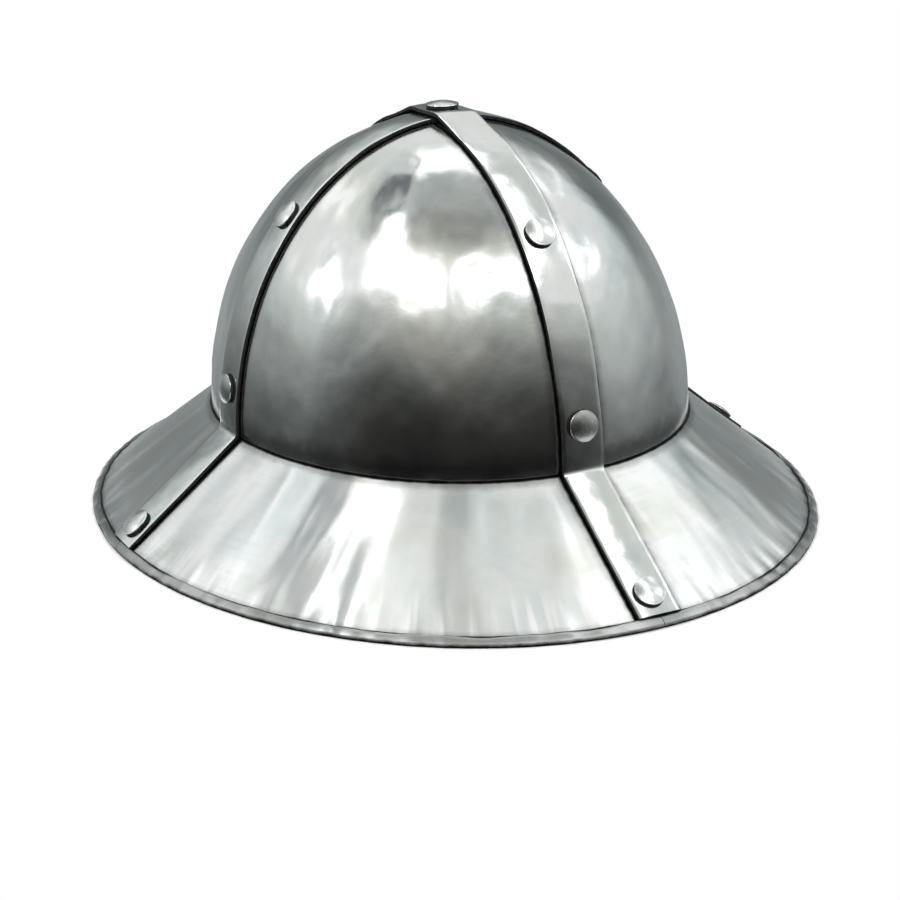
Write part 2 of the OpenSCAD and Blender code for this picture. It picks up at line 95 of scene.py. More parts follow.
def armFrame(arm, height):                   # where a rivet head sits on a band, and its axis
    turn, stretch = arms[arm]
    grown = seat + bandThickness
    wide, tall = stretch * (meanRadius + grown), domeHeight + grown
    radius = wide * math.sqrt(1 - (height / tall) ** 2)
    tilt = math.atan2(height / tall ** 2, radius / wide ** 2)
    return outwards(turn, radius, crease + height), outwards(turn, math.cos(tilt), math.sin(tilt))


def brimFrame(arm):
    turn, stretch = arms[arm]
    r, z = onSlope(hat["brimRivets"] * hat["brimWidth"] / math.cos(slopeAngle), seat + bandThickness)
    tilt = math.atan2(slopeDrop, slopeRun * stretch)
    return outwards(turn, stretch * r, z), outwards(turn, math.sin(tilt), math.cos(tilt))


def unevenness(points, wavelength, seed, waves=26):    # a smooth random field, about -2 to 2
    rng = np.random.default_rng(seed)
    directions = unit(rng.normal(size=(waves, 3)))
    lengths = wavelength * rng.uniform(0.65, 1.5, waves)
    phases = rng.uniform(0, 2 * math.pi, waves)
    flat = np.asarray(points, float).reshape(-1, 3)
    total = np.cos(flat @ (directions / lengths[:, None]).T * 2 * math.pi + phases).sum(axis=1)
    return (total / math.sqrt(waves / 2)).reshape(np.asarray(points).shape[:-1])


def inwardDents(points, marks, seed):        # depth and size of each kind of mark, always inward
    return sum(depth * (0.5 + 0.5 * np.tanh(unevenness(points, size, seed + 50 * i)))
               for i, (depth, size) in enumerate(marks))


# Meshes
def makePiece(name, points, faces, uvs=None, sharp=32, slots=None, closed=True):
    mesh = bpy.data.meshes.new(name)
    mesh.from_pydata((np.asarray(points, float) * mm).tolist(), [], faces)
    if uvs is not None:                      # in metres along and across the brushing
        layer = mesh.uv_layers.new(name="UVMap")
        corners = np.zeros(len(mesh.loops), np.int32)
        mesh.loops.foreach_get("vertex_index", corners)
        layer.data.foreach_set("uv", (np.asarray(uvs, float)[corners] * mm).astype(np.float32).ravel())
    if slots is not None:
        mesh.polygons.foreach_set("material_index", np.asarray(slots, np.int32))
    mesh.validate()
    if closed and sum(p.area * p.center.dot(p.normal) for p in mesh.polygons) < 0:
        mesh.flip_normals()                  # the outline ran the other way round
    mesh.shade_smooth()
    mesh.set_sharp_from_angle(angle=math.radians(sharp))
    piece = bpy.data.objects.new(name, mesh)
    bpy.context.scene.collection.objects.link(piece)
    return piece


def gridFaces(rows, columns, start=0, flip=False, closed=False):
    faces = []
    for i in range(rows if closed else rows - 1):
        for j in range(columns - 1):
            a = start + i * columns + j
            b = start + ((i + 1) % rows) * columns + j
            face = (a, b, b + 1, a + 1)
            faces.append(face[::-1] if flip else face)
    return faces


def makeShell(name, outer, inner, uvs=None, closed=False, sharp=32, inside=0):    # edges take slot 1
    rows, columns = outer.shape[:2]
    count = rows * columns
    faces = gridFaces(rows, columns, 0, False, closed) + gridFaces(rows, columns, count, True, closed)
    skins = len(faces)
    for j, flip in ((0, False), (columns - 1, True)):
        for i in range(rows if closed else rows - 1):
            a, b = i * columns + j, ((i + 1) % rows) * columns + j
            face = (a, a + count, b + count, b)
            faces.append(face[::-1] if flip else face)
    if not closed:
        for i, flip in ((0, True), (rows - 1, False)):
            for j in range(columns - 1):
                a, b = i * columns + j, i * columns + j + 1
                face = (a, a + count, b + count, b)
                faces.append(face[::-1] if flip else face)
    points = np.concatenate([outer.reshape(-1, 3), inner.reshape(-1, 3)])
    flatUvs = None if uvs is None else np.concatenate([uvs.reshape(-1, 2)] * 2)
    slots = [0] * (skins // 2) + [inside] * (skins // 2) + [1] * (len(faces) - skins)
    return makePiece(name, points, faces, flatUvs, sharp, slots)


def makeSweep(name, sections, uvs=None, sharp=32, extra=(), slotAt=None, otherSlot=0):
    points, faces, slots = [], [], []
    for part in (sections,) + tuple(extra):  # each is a solid of its own in the same piece
        start, (stations, count) = sum(len(p) for p in points), part.shape[:2]
        for i in range(stations - 1):
            for j in range(count):
                k = (j + 1) % count
                a, b = start + i * count, start + (i + 1) * count
                faces.append((a + j, a + k, b + k, b + j))
                slots.append(slotAt[j] if slotAt and part is sections else otherSlot)
        faces.append(tuple(start + j for j in range(count))[::-1])
        faces.append(tuple(start + (stations - 1) * count + j for j in range(count)))
        slots += [otherSlot, otherSlot]
        points.append(part.reshape(-1, 3))
    points = np.concatenate(points)
    if uvs is not None:                      # the extra solids take their place seen from above
        uvs = np.concatenate([uvs.reshape(-1, 2), points[uvs.size // 2:, :2]])
    return makePiece(name, points, faces, uvs, sharp, slots)


def pierce(piece, cutters):                  # takes the shapes of the cutters out of a piece
    for cutter in cutters:
        cut = piece.modifiers.new("cut", "BOOLEAN")
        cut.operation, cut.solver, cut.object = "DIFFERENCE", "EXACT", cutter
    graph = bpy.context.evaluated_depsgraph_get()
    mesh = bpy.data.meshes.new_from_object(piece.evaluated_get(graph))
    piece.modifiers.clear()
    piece.data = mesh
    for cutter in cutters:
        bpy.data.objects.remove(cutter)
    return piece


def makePin(origin, axis, radius, near, far, count=28):      # a round cutter along an axis
    origin, axis = np.array(origin, float), np.array(axis, float)
    across = unit(np.cross(axis, [0, 1, 0]))
    other = np.cross(axis, across)
    turns = np.linspace(0, 2 * math.pi, count, endpoint=False)[:, None]
    ring = radius * (np.cos(turns) * across + np.sin(turns) * other)
    sections = np.array([origin + near * axis + ring, origin + far * axis + ring])
    return makeSweep("cutter", sections, sections[:, :, :2])


def resample(route, step):
    lengths = np.concatenate([[0], np.cumsum(np.linalg.norm(np.diff(route, axis=0), axis=1))])
    marks = np.linspace(0, lengths[-1], int(lengths[-1] / step) + 1)
    return np.stack([np.interp(marks, lengths, route[:, k]) for k in range(route.shape[1])], axis=1)


def squareTo(route):                         # unit vectors square to a line in a side view
    along = unit(np.gradient(route, axis=0))
    return np.stack([-along[:, 1], along[:, 0]], axis=1)


def settle(piece, materials, node=None, body="helmet"):
    for material in materials:
        piece.data.materials.append(material)
    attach(piece, body)
    if node:
        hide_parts(node)
    return piece


# Materials
def paint(code):                             # sRGB hex to linear
    parts = [int(code[i:i + 2], 16) / 255 for i in (0, 2, 4)]
    return tuple(c / 12.92 if c <= 0.04045 else ((c + 0.055) / 1.055) ** 2.4 for c in parts) + (1,)


def addNode(tree, kind, inputs=None, **settings):        # an input is a value, or a node and its output
    node = tree.nodes.new(kind)
    for key, value in settings.items():
        setattr(node, key, value)
    for key, value in (inputs or {}).items():
        if isinstance(value, tuple) and isinstance(value[0], bpy.types.Node):
            tree.links.new(value[0].outputs[value[1]], node.inputs[key])
        else:
            node.inputs[key].default_value = value
    return node


def startMaterial(name):
    material = bpy.data.materials.new(name)
    material.use_nodes = True
    tree = material.node_tree
    tree.nodes.clear()
    return material, tree, (addNode(tree, "ShaderNodeTexCoord"), "Object")


def endMaterial(material, tree, inputs):
    shader = addNode(tree, "ShaderNodeBsdfPrincipled", inputs)
    addNode(tree, "ShaderNodeOutputMaterial", {"Surface": (shader, "BSDF")})
    return material


def addMath(tree, operation, *terms):
    return addNode(tree, "ShaderNodeMath", dict(enumerate(terms)), operation=operation), "Value"


def addRange(tree, source, start, end, low=0.0, high=1.0, curve="LINEAR"):
    inputs = {"Value": source, "From Min": start, "From Max": end, "To Min": low, "To Max": high}
    return addNode(tree, "ShaderNodeMapRange", inputs, interpolation_type=curve), "Result"


def addMix(tree, share, first, second):      # of two colours
    return addNode(tree, "ShaderNodeMix", {0: share, 6: first, 7: second}, data_type="RGBA"), 2


def addRamp(tree, source, stops):
    ramp = addNode(tree, "ShaderNodeValToRGB", {"Fac": source})
    elements = ramp.color_ramp.elements
    while len(elements) < len(stops):
        elements.new(0.5)
    for element, (place, colour) in zip(elements, stops):
        element.position, element.color = place, colour
    return ramp, "Color"


def addNoise(tree, place, size, detail, **more):         # size in millimetres
    inputs = {"Vector": place, "Scale": 1 / (size * mm), "Detail": detail, **more}
    return addNode(tree, "ShaderNodeTexNoise", inputs), "Fac"


def addStreaks(tree, uv, sizeU, sizeV, detail, **more):  # noise of different sizes along U and V
    scale = (1 / (sizeU * mm), 1 / (sizeV * mm), 1)
    drawn = addNode(tree, "ShaderNodeMapping", {"Vector": uv, "Scale": scale})
    inputs = {"Vector": (drawn, "Vector"), "Scale": 1.0, "Detail": detail, **more}
    return addNode(tree, "ShaderNodeTexNoise", inputs), "Fac"


def addBump(tree, height, depth, strength=1.0, under=None):      # depth in millimetres
    inputs = {"Height": height, "Strength": strength, "Distance": depth * mm}
    if under:
        inputs["Normal"] = under
    return addNode(tree, "ShaderNodeBump", inputs), "Normal"


steelLook = {
    "bright": "d8dad9", "warm": "d2d4cf", "cool": "cbd1d1",  # mild steel, and how the polish clouds it
    "paintedShade": "191a1c",                        # painted shade: near-black colour in the corners and beside the bands
    "haze": 38, "mottle": 7.0, "peel": 1.5,  # millimetres: haze, planishing marks, orange peel
    "brushLength": 45, "brushWidth": 0.45,   # buffing lines, twice as coarse as real so that they show
    # painted highlight: colour and size of the white streaks on the brim
    "paintedHighlight": "ffffff", "paintedHighlightWidth": 4.5, "paintedHighlightLength": 60,
    # how ragged the painted shade lines and the wider painted shade are, and the duller finish under them
    "paintedShadeRaggedness": 0.13, "wideShadeRaggedness": 0.1, "raggedness": 5.0, "paintedShadeRoughness": 0.75,
}


def addCrevices(tree, place, uv, crevices, outerEnd, ragged):    # 1 in the corners, where shade is painted
    wander = addRange(tree, addNoise(tree, place, steelLook["raggedness"], 4.0), 0.3, 0.7, -ragged, ragged)
    solid, flat = (addNode(tree, "ShaderNodeSeparateXYZ", {"Vector": source}) for source in (place, uv))
    across = flat, "Y"
    total = 0.0
    for axis, centre, width, strength in crevices:       # along an axis or V, in millimetres
        apart = addMath(tree, "ABSOLUTE", across if axis == "V" else (solid, axis))
        near = addMath(tree, "ABSOLUTE", addMath(tree, "SUBTRACT", apart, centre * mm))
        rough = addMath(tree, "MULTIPLY_ADD", near, 1 / (width * mm), wander)
        line = addRange(tree, rough, 0.25, 1.0, strength, 0.0, "SMOOTHSTEP")
        if axis in "XY":                     # the painted shade lines beside a band stop where it does
            within = addRange(tree, across, outerEnd * mm, (outerEnd + 0.5) * mm, 1.0, 0.0)
            line = addMath(tree, "MULTIPLY", line, within)
        total = addMath(tree, "MAXIMUM", total, line)
    return total


# painted highlights: white streaks that stand in for lamp light on the brushed brim
def addPaintedHighlights(tree, uv, colour, start, full):     # start and full: radii in millimetres
    tongues = addStreaks(tree, uv, steelLook["paintedHighlightWidth"], steelLook["paintedHighlightLength"], 2.0)
    crisp = addRange(tree, tongues, 0.46, 0.66, curve="SMOOTHSTEP")
    radius = addNode(tree, "ShaderNodeSeparateXYZ", {"Vector": uv}), "Y"
    rise = addRange(tree, radius, start * mm, full * mm, curve="SMOOTHSTEP")
    return addMix(tree, addMath(tree, "MULTIPLY", crisp, rise), colour, paint(steelLook["paintedHighlight"]))


def polishedSteel(name, roughness, brushing=0.3, peel=1.0, haze=0.05, anisotropy=0.0, crevices=(),
                  shades=(), outerEnd=1000, tone=1.0, paintedHighlights=()):
    # mild steel, planished and buffed: a soft mirror with clouded polish and fine buffing lines
    material, tree, place = startMaterial(name)
    uv = addNode(tree, "ShaderNodeUVMap", uv_map="UVMap"), "UV"
    cloud = addNoise(tree, place, steelLook["haze"], 6.0, Roughness=0.6, Distortion=0.4)
    lines = addStreaks(tree, uv, steelLook["brushLength"], steelLook["brushWidth"], 3.0, Roughness=0.6)
    marks = addNoise(tree, place, steelLook["mottle"], 2.0, Roughness=0.45)
    skin = addNoise(tree, place, steelLook["peel"], 3.0, Roughness=0.6)
    greys = [tuple(min(1, c * tone) for c in paint(steelLook[shade])[:3]) + (1,)
             for shade in ("cool", "bright", "warm")]
    colour = addRamp(tree, cloud, list(zip((0.34, 0.5, 0.66), greys)))
    if paintedHighlights:                                # short painted highlights: white streaks up from the hem
        colour = addPaintedHighlights(tree, uv, colour, *paintedHighlights)
    spread = addRange(tree, cloud, 0.35, 0.65, roughness - haze, roughness + haze)
    brushed = addRange(tree, lines, 0.3, 0.7, -0.05 * brushing, 0.06 * brushing)
    rough = addMath(tree, "ADD", spread, brushed)
    normal = None
    for source, depth in ((lines, 0.009 * brushing), (marks, 0.06 * peel), (skin, 0.012 * peel)):
        normal = addBump(tree, source, depth, under=normal)
    if shades:                               # a wider, softer painted shade beside the crevices, still smooth
        stain = addCrevices(tree, place, uv, shades, outerEnd, steelLook["wideShadeRaggedness"])
        colour = addMix(tree, stain, colour, paint(steelLook["paintedShade"]))
    # painted shade in the crevices: dark colour, and a duller finish there
    if crevices:
        paintedShade = addCrevices(tree, place, uv, crevices, outerEnd, steelLook["paintedShadeRaggedness"])
        colour = addMix(tree, paintedShade, colour, paint(steelLook["paintedShade"]))
        rough = addNode(tree, "ShaderNodeMix", {0: paintedShade, 2: rough, 3: steelLook["paintedShadeRoughness"]}), 0
    surface = {"Base Color": colour, "Roughness": rough, "Normal": normal, "Metallic": 1.0,
               "Anisotropic": anisotropy, "Anisotropic Rotation": 0.25}
    if anisotropy:
        tangent = addNode(tree, "ShaderNodeTangent", direction_type="UV_MAP", uv_map="UVMap")
        surface["Tangent"] = tangent, "Tangent"
    return endMaterial(material, tree, surface)


def edgeShadeSteel(name):
    # sheared edges and undersides of the bands, rivets and skull plates: painted shade, near black and dull,
    # so it mirrors nothing
    material, tree, place = startMaterial(name)
    flakes = addNoise(tree, place, 2.5, 5.0)
    return endMaterial(material, tree, {
        "Base Color": addRamp(tree, flakes, [(0.35, paint("1a1a1b")), (0.7, paint("333435"))]),
        "Roughness": addRange(tree, flakes, 0.0, 1.0, 0.5, 0.8),
        "Normal": addBump(tree, flakes, 0.06, 0.6), "Specular IOR Level": 0.3})


leatherLook = {"pores": 0.9, "creases": 7, "stain": 45, "fibres": 1.2}      # millimetres


def tannedLeather(name, pale, deep, roughness, depth=1.0):
    # vegetable-tanned cowhide: fine pores, soft creases and a stain that is deeper in places
    material, tree, place = startMaterial(name)
    stain = addNoise(tree, place, leatherLook["stain"], 6.0)
    creases = addNoise(tree, place, leatherLook["creases"], 6.0, Distortion=0.6)
    pores = addNode(tree, "ShaderNodeTexVoronoi", {"Vector": place, "Scale": 1 / (leatherLook["pores"] * mm)},
                    feature="DISTANCE_TO_EDGE")
    grain = addBump(tree, (pores, "Distance"), 0.12, 0.35 * depth)
    return endMaterial(material, tree, {
        "Base Color": addRamp(tree, stain, [(0.35, paint(deep)), (0.65, paint(pale))]),
        "Roughness": addRange(tree, creases, 0.3, 0.7, roughness - 0.08, roughness + 0.1),
        "Normal": addBump(tree, creases, 0.5, 0.4 * depth, grain)})


def burnishedEdge(name, pale, deep):
    # cut edges of the leather, rubbed with wax: darker than the grain side, with fine fibres along them
    material, tree, place = startMaterial(name)
    fibres = addNoise(tree, place, leatherLook["fibres"], 4.0)
    return endMaterial(material, tree, {
        "Base Color": addRamp(tree, fibres, [(0.3, paint(deep)), (0.7, paint(pale))]),
        "Normal": addBump(tree, fibres, 0.1, 0.5), "Roughness": 0.42})


def waxedThread(name, pale, deep, plySize):
    # linen thread, waxed: twisted plies give a fine slanted shade along each stitch
    material, tree, place = startMaterial(name)
    inputs = {"Vector": place, "Scale": 0.5 / (plySize * mm), "Distortion": 1.0}
    plies = addNode(tree, "ShaderNodeTexWave", inputs), "Fac"
    colour = addRamp(tree, plies, [(0.0, paint(deep)), (0.7, paint(pale))])
    return endMaterial(material, tree, {"Base Color": colour, "Roughness": 0.6})


hemRadius = onSlope(hemStart, 0)[0]
# painted shade: dark lines beside the bands, a softer wider shade beside them, and the hem's inner line and
# underside painted dark
bandShadeLines = [(axis, halfBand, 2.0, 1) for axis in "XY"]
bandShadeWide = [(axis, halfBand, 5, 0.4) for axis in "XY"]
hemShadeLines = [("V", hemRadius - 0.1, 0.7, 0.9), ("Z", 0, 2.2, 1)]
# the skull: painted shade along the bands and at the crease, and its lowest 14 mm painted darker
skullSteel = polishedSteel("planished steel skull", 0.17, 0.2, 1.0, 0.04,
                           shades=bandShadeWide + [("V", 0, 14, 0.6)],
                           crevices=bandShadeLines + [("V", 0, 1.2, 1)])
# tone 1.24 paints the brim lighter than the rest of the steel, as painted light
brimSteel = polishedSteel("brushed steel brim", 0.35, 0.6, 0.7, 0.03, 1.0, tone=1.24,
                          # painted highlights: white streaks up from the hem
                          outerEnd=hemRadius - 0.2, paintedHighlights=(hemRadius - 19, hemRadius - 6),
                          # painted shade beside the bands, by the crease and by the hem
                          shades=bandShadeWide + [("V", meanRadius, 4, 0.4), ("V", hemRadius, 2.5, 0.25)],
                          crevices=bandShadeLines + hemShadeLines + [("V", meanRadius, 1.0, 1)])
# tone 0.6 paints the turned hem darker, as painted shade
hemSteel = polishedSteel("filed steel hem", 0.3, 1.4, 1.0, 0.05, 0.8, tone=0.6, crevices=hemShadeLines)
innerSteel = polishedSteel("unpolished steel inside", 0.4, 0.3, 1.5, 0.06, tone=0.5)
bandSteel = polishedSteel("brushed steel band", 0.13, 0.5, 1.0, 0.04)
rivetSteel = polishedSteel("turned steel rivet", 0.24, 0.8, 1.2, 0.05, 0.6)
buckleSteel = polishedSteel("forged steel buckle", 0.22, 0.2, 1.6, 0.05)
washerSteel = polishedSteel("plain steel washer", 0.32, 0.3, 1.0)
edgeShadeBlack = edgeShadeSteel("edges painted black as shade")
linerLeather = tannedLeather("undyed liner leather", "b98a58", "96673a", 0.55)
linerEdge = burnishedEdge("waxed liner edge", "8d6238", "5f3f22")
strapLeather = tannedLeather("waxed strap leather", "5f3c24", "402617", 0.42, 0.8)
strapEdge = burnishedEdge("waxed strap edge", "3a2416", "21140c")
linenThread = waxedThread("waxed linen thread", "d9c9a3", "8f7a55", 0.35)
print("materials made")

# Skull: the lower plates step down under the bands, so that the outside stays flush
skullPlates = {
    "columns": 92, "rows": 108, "lap": 8, "stepFrom": 8.3, "stepTo": 9.5, "crownHole": 13.8,
    "lift": 0.45,                            # open line between the skull's edge and the brim
    "calmOver": 14,                          # the marks grow over this distance from a band or the edge
    "marks": ((0.6, 46), (0.22, 17), (0.055, 7)), "tall": 0.62,        # planishing runs up the skull
}


def acrossStretch(turn):                     # stretch of the plan square to an arm
    return longStretch if turn % 180 == 0 else sideStretch


def skullPlate(name, start, upper, seed):
    p = skullPlates
    high = math.acos(p["crownHole"] / meanRadius)
    edges = np.array([-p["lap"], -2, 4, p["stepFrom"], (p["stepFrom"] + p["stepTo"]) / 2, p["stepTo"]])
    distances = np.concatenate([edges, np.full(p["columns"], p["stepTo"]), edges[::-1]])
    step = 1 - smooth(distances, p["stepFrom"], p["stepTo"])
    skins, flats = [], []
    for depth in (0, sheet):
        low = (p["lift"] + (seat + depth * math.sin(slopeAngle)) / math.cos(slopeAngle)) / domeHeight
        grid = np.zeros((len(distances), p["rows"], 3))
        flat = np.zeros(grid.shape[:2] + (2,))
        for j, up in enumerate(np.linspace(math.asin(low), high, p["rows"])):
            radius = meanRadius * math.cos(up)
            near = np.arcsin(edges / (radius * acrossStretch(start)))
            far = math.pi / 2 - np.arcsin(edges / (radius * acrossStretch(start + 90)))
            inside = np.linspace(near[-1], far[-1], p["columns"] + 2)[1:-1]
            turn = np.concatenate([near, inside, far[::-1]]) + math.radians(start)
            sunk = depth + (0 if upper else pitch) * step
            r = (meanRadius - sunk) * math.cos(up)
            grid[:, j] = ellipsePoint(turn, r, crease + (domeHeight - sunk) * math.sin(up))
            flat[:, j] = np.stack([turn * meanRadius, np.full(len(turn), up * domeHeight)], axis=1)
        skins.append(grid)
        flats.append(flat)
    square = unit(skins[0] / [sideStretch ** 2, longStretch ** 2, 1] - [0, 0, crease])
    beside = np.abs(skins[0][:, :, :2]).min(axis=2) - halfBand
    calm = 0.15 + 0.85 * smooth(beside, 0, p["calmOver"])  # each plate lies flat under the bands
    calm *= 0.4 + 0.6 * smooth(skins[0][:, :, 2] - crease, 0, p["calmOver"])
    dents = inwardDents(skins[0] * [1, 1, p["tall"]], p["marks"], seed) * calm
    shift = square * dents[:, :, None]
    return makeShell(name, skins[0] - shift, skins[1] - shift, flats[0], sharp=50, inside=2)


for seed, (quarter, (start, upper)) in enumerate(quarters.items()):
    plate = skullPlate("skull_plate_" + quarter, start, upper, seed + 3)
    settle(plate, [skullSteel, edgeShadeBlack, innerSteel], "skull_" + quarter)
print("skull plates made")

# Brim: each plate has a flange inside the skull, and its edge is turned over in a hem
brimPlates = {
    "columns": 150, "slopeRows": 44, "lapAngle": 2.4, "hemGap": 0.05,
    "stepFrom": 2.6, "stepTo": 3.2, "flangeFrom": 5.8, "flangeTo": 6.6,
    "marks": ((0.9, 50), (0.42, 19), (0.06, 9)), "radial": 0.35,      # marks run down the brim
    "flare": 0.55, "flareFrom": 13, "flareSize": 11, "hemWander": 0.22, "hemWanderSize": 9,
    "girthRadius": 145, "flareRadius": 170, "wanderRadius": 60,        # these turn angles into lengths
    "calmFrom": 3.4, "calmTo": 8.4, "quietHem": 9,         # degrees from a seam; millimetres from the hem
    "flangeBase": 0.8, "shortOfHem": 3.1, "hemLip": 0.8,
}


def eggPoint(h, depth):                      # radius and height on the skull's section
    up = math.asin(h / domeHeight)
    return (meanRadius - depth) * math.cos(up), crease + (domeHeight - depth) * math.sin(up)


def brimOutline(level, sunk, hemmed, hemShift):      # the plate's section: radius, height, movable
    top, cut = brimPlates["flangeBase"] + hat["flangeHeight"], bandEnd - brimPlates["shortOfHem"]
    rows, tangent = brimPlates["slopeRows"], math.tan(slopeAngle)

    def sunken(s):                           # the step ends before the hem
        return sunk * (1 - smooth(s, cut - 1, cut)) if hemmed else sunk

    outline = [eggPoint(h, level * pitch) + (0,)
               for h in np.linspace(top, level * pitch * tangent + 1.2, 7)]      # the flange's outside
    first = 0.9 - level * pitch / math.cos(slopeAngle)
    for s in np.linspace(first, hemStart + hemShift if hemmed else cut, rows):
        outline.append(onSlope(s, -sunken(s)) + (min(1, max(0, s / 8)),))
    end = cut
    if hemmed:                               # the turned edge, slightly crowned, with a soft return
        h = hemStart + hemShift
        for s, n in ((h + 0.05, 0.5), (h + 0.12, 1.0), (h + 0.42, 1.32), (h + 1.0, 1.46),
                     (slopeLength - 0.9, 1.56)):
            outline.append(onSlope(s, n) + (1,))
        for a in np.linspace(90, -90, 13):
            s = slopeLength + sheet * math.cos(math.radians(a))
            outline.append(onSlope(s, sheet * math.sin(math.radians(a))) + (1,))
        end = slopeLength - brimPlates["hemLip"]
    inner = level * pitch + sheet
    join = inner * tangent - sheet / math.cos(slopeAngle)    # height where the inner faces meet
    last = (1.4 - inner + sheet * math.sin(slopeAngle)) / math.cos(slopeAngle)
    for s in np.linspace(end, last, rows):
        outline.append(onSlope(s, -sheet - sunken(s)) + (min(1, max(0, s / 8)),))
    for h, out in ((join + 0.5, 0.45), (join + 1.6, 0.08)):
        r, z = eggPoint(h, inner)
        outline.append((r + out, z, 0))
    outline += [eggPoint(h, inner) + (0,) for h in np.linspace(join + 3.5, top, 6)]
    return np.array(outline)


def brimSweep(start, angles, upper, hemmed, seed):
    p = brimPlates
    sections, uvs, calm = [], [], []
    for angle in angles:
        edge = min(angle, 90 - angle)        # degrees from the nearer seam
        deepest = 2 if upper else 3
        level = 1 + (deepest - 1) * (1 - smooth(edge, p["flangeFrom"], p["flangeTo"]))
        sunk = 0 if upper else pitch * (1 - smooth(edge, p["stepFrom"], p["stepTo"]))
        turn = math.radians(start + angle)
        along = np.array([turn * p["wanderRadius"], start, 7.0])
        shift = p["hemWander"] * float(unevenness(along, p["hemWanderSize"], 70 + start)) if hemmed else 0
        outline = brimOutline(level, sunk, hemmed, shift)
        r, z = outline[:, 0], outline[:, 1]
        sections.append(ellipsePoint(turn, r, z))
        uvs.append(np.stack([np.full(len(r), turn * p["girthRadius"]), r], axis=1))
        calm.append(outline[:, 2] * smooth(edge, p["calmFrom"], p["calmTo"]))     # flat under the band
    sections, uvs, calm = np.array(sections), np.array(uvs), np.array(calm)
    turns, r = uvs[:, :, 0] / p["girthRadius"], uvs[:, :, 1]
    square = np.stack([math.sin(slopeAngle) * np.cos(turns), math.sin(slopeAngle) * np.sin(turns),
                       np.full(turns.shape, math.cos(slopeAngle))], axis=2)
    spots = np.stack([turns * p["girthRadius"], r * p["radial"], np.full(turns.shape, 5.0 * seed)], axis=2)
    quiet = 1 - 0.75 * smooth(r, hemRadius - p["quietHem"], hemRadius)
    dents = inwardDents(spots, p["marks"], seed) * quiet
    tongues = np.stack([turns * p["flareRadius"], 0 * r, 0 * r], axis=2)
    flames = 0.5 + 0.5 * np.tanh(1.6 * unevenness(tongues, p["flareSize"], seed + 5))
    flare = p["flare"] * smooth(r, hemRadius - p["flareFrom"], hemRadius) * (0.35 + 0.65 * flames)
    sections = sections - square * ((dents + flare) * calm)[:, :, None]
    sections[:, :, 2] = np.maximum(sections[:, :, 2], 0)
    return sections, uvs


def brimPlate(name, start, upper, seed):
    p = brimPlates
    gap, calmest = p["hemGap"], p["flangeTo"]
    close = [gap, 1, 2, p["stepFrom"], 2.8, 3.0, p["stepTo"], 4, 5, p["flangeFrom"], 6.1, 6.35, calmest]
    between = np.linspace(calmest, 90 - calmest, p["columns"])[1:-1]
    angles = close + list(between) + [90 - a for a in close[::-1]]
    body, uvs = brimSweep(start, angles, upper, True, seed)
    laps = [brimSweep(start, list(np.linspace(a, b, 5)), upper, False, seed)[0]
            for a, b in ((-p["lapAngle"], gap), (90 - gap, 90 + p["lapAngle"]))]
    flange, hem = 6, 18                      # faces of the outline on the flange and round the hem
    slotAt = [2] * flange + [0] * p["slopeRows"] + [1] * hem
    return makeSweep(name, body, uvs, 38, laps, slotAt + [2] * (body.shape[1] - len(slotAt)), 2)


for seed, (quarter, (start, upper)) in enumerate(quarters.items()):
    plate = brimPlate("brim_plate_" + quarter, start, upper, seed + 21)
    settle(plate, [brimSteel, hemSteel, innerSteel], "brim_" + quarter)
print("brim plates made")

# Bands: hoop iron bent over the skull and down the brim, edges filed a little round
bandStrips = {"step": 1.0, "bend": 5.0, "edge": 0.4, "hollow": 0.3, "topPoints": 13,
              "wave": 0.09, "waveSize": 26, "ripple": 0.02, "rippleSize": 9, "wander": 0.13, "wanderSize": 34,
              "bands": {"band_side_to_side": (0, sideStretch), "band_front_to_back": (90, longStretch)}}


def bandRoute(stretch, over):                # underside of half a band, from the crown outwards
    tall, wide = domeHeight + seat, stretch * (meanRadius + seat)
    route, top = [], math.pi / 2
    if over:                                 # level over the other band, bent, straight to the skull
        a, b = wide - stretch * hat["humpSink"], tall - hat["humpSink"]
        corner = np.array((halfBand + hat["humpLevel"], crownHeight - bandThickness - crease))
        start = corner / (a, b)
        top = math.atan2(start[1], start[0]) - math.acos(1 / math.hypot(*start))
        foot = np.array((a * math.cos(top), b * math.sin(top)))
        lean = math.atan2(corner[1] - foot[1], foot[0] - corner[0])
        centre = corner - hat["humpBend"] * np.array((math.tan(lean / 2), 1))
        arc = [centre + hat["humpBend"] * np.array((math.sin(t), math.cos(t)))
               for t in np.linspace(0, lean, 12)]
        route = [(q[0], q[1] + crease) for q in [np.array((0, corner[1]))] + arc + [foot]]
    for up in np.linspace(top, 0.02, 160)[1 if over else 0:]:
        route.append((wide * math.cos(up), crease + tall * math.sin(up)))
    corner = np.array((wide, crease + seat * 1.2))
    slope = unit(np.array((math.cos(slopeAngle) * stretch, -math.sin(slopeAngle))))
    fall = np.array((0.0, -1.0))
    bend = math.acos(float(slope @ fall))
    cut = bandStrips["bend"] * math.tan(bend / 2)
    route = [q for q in route if q[1] > corner[1] + cut]
    centre = corner - fall * cut + np.array((bandStrips["bend"], 0))
    for a in np.linspace(0, bend, 9):
        route.append(tuple(centre + bandStrips["bend"] * np.array((-math.cos(a), -math.sin(a)))))
    r, z = onSlope(bandEnd, seat)
    end, last = np.array((stretch * r, z)), np.array(route[-1])
    route += [tuple(last + (end - last) * t) for t in np.linspace(0, 1, 40)[1:]]
    return np.array(route)


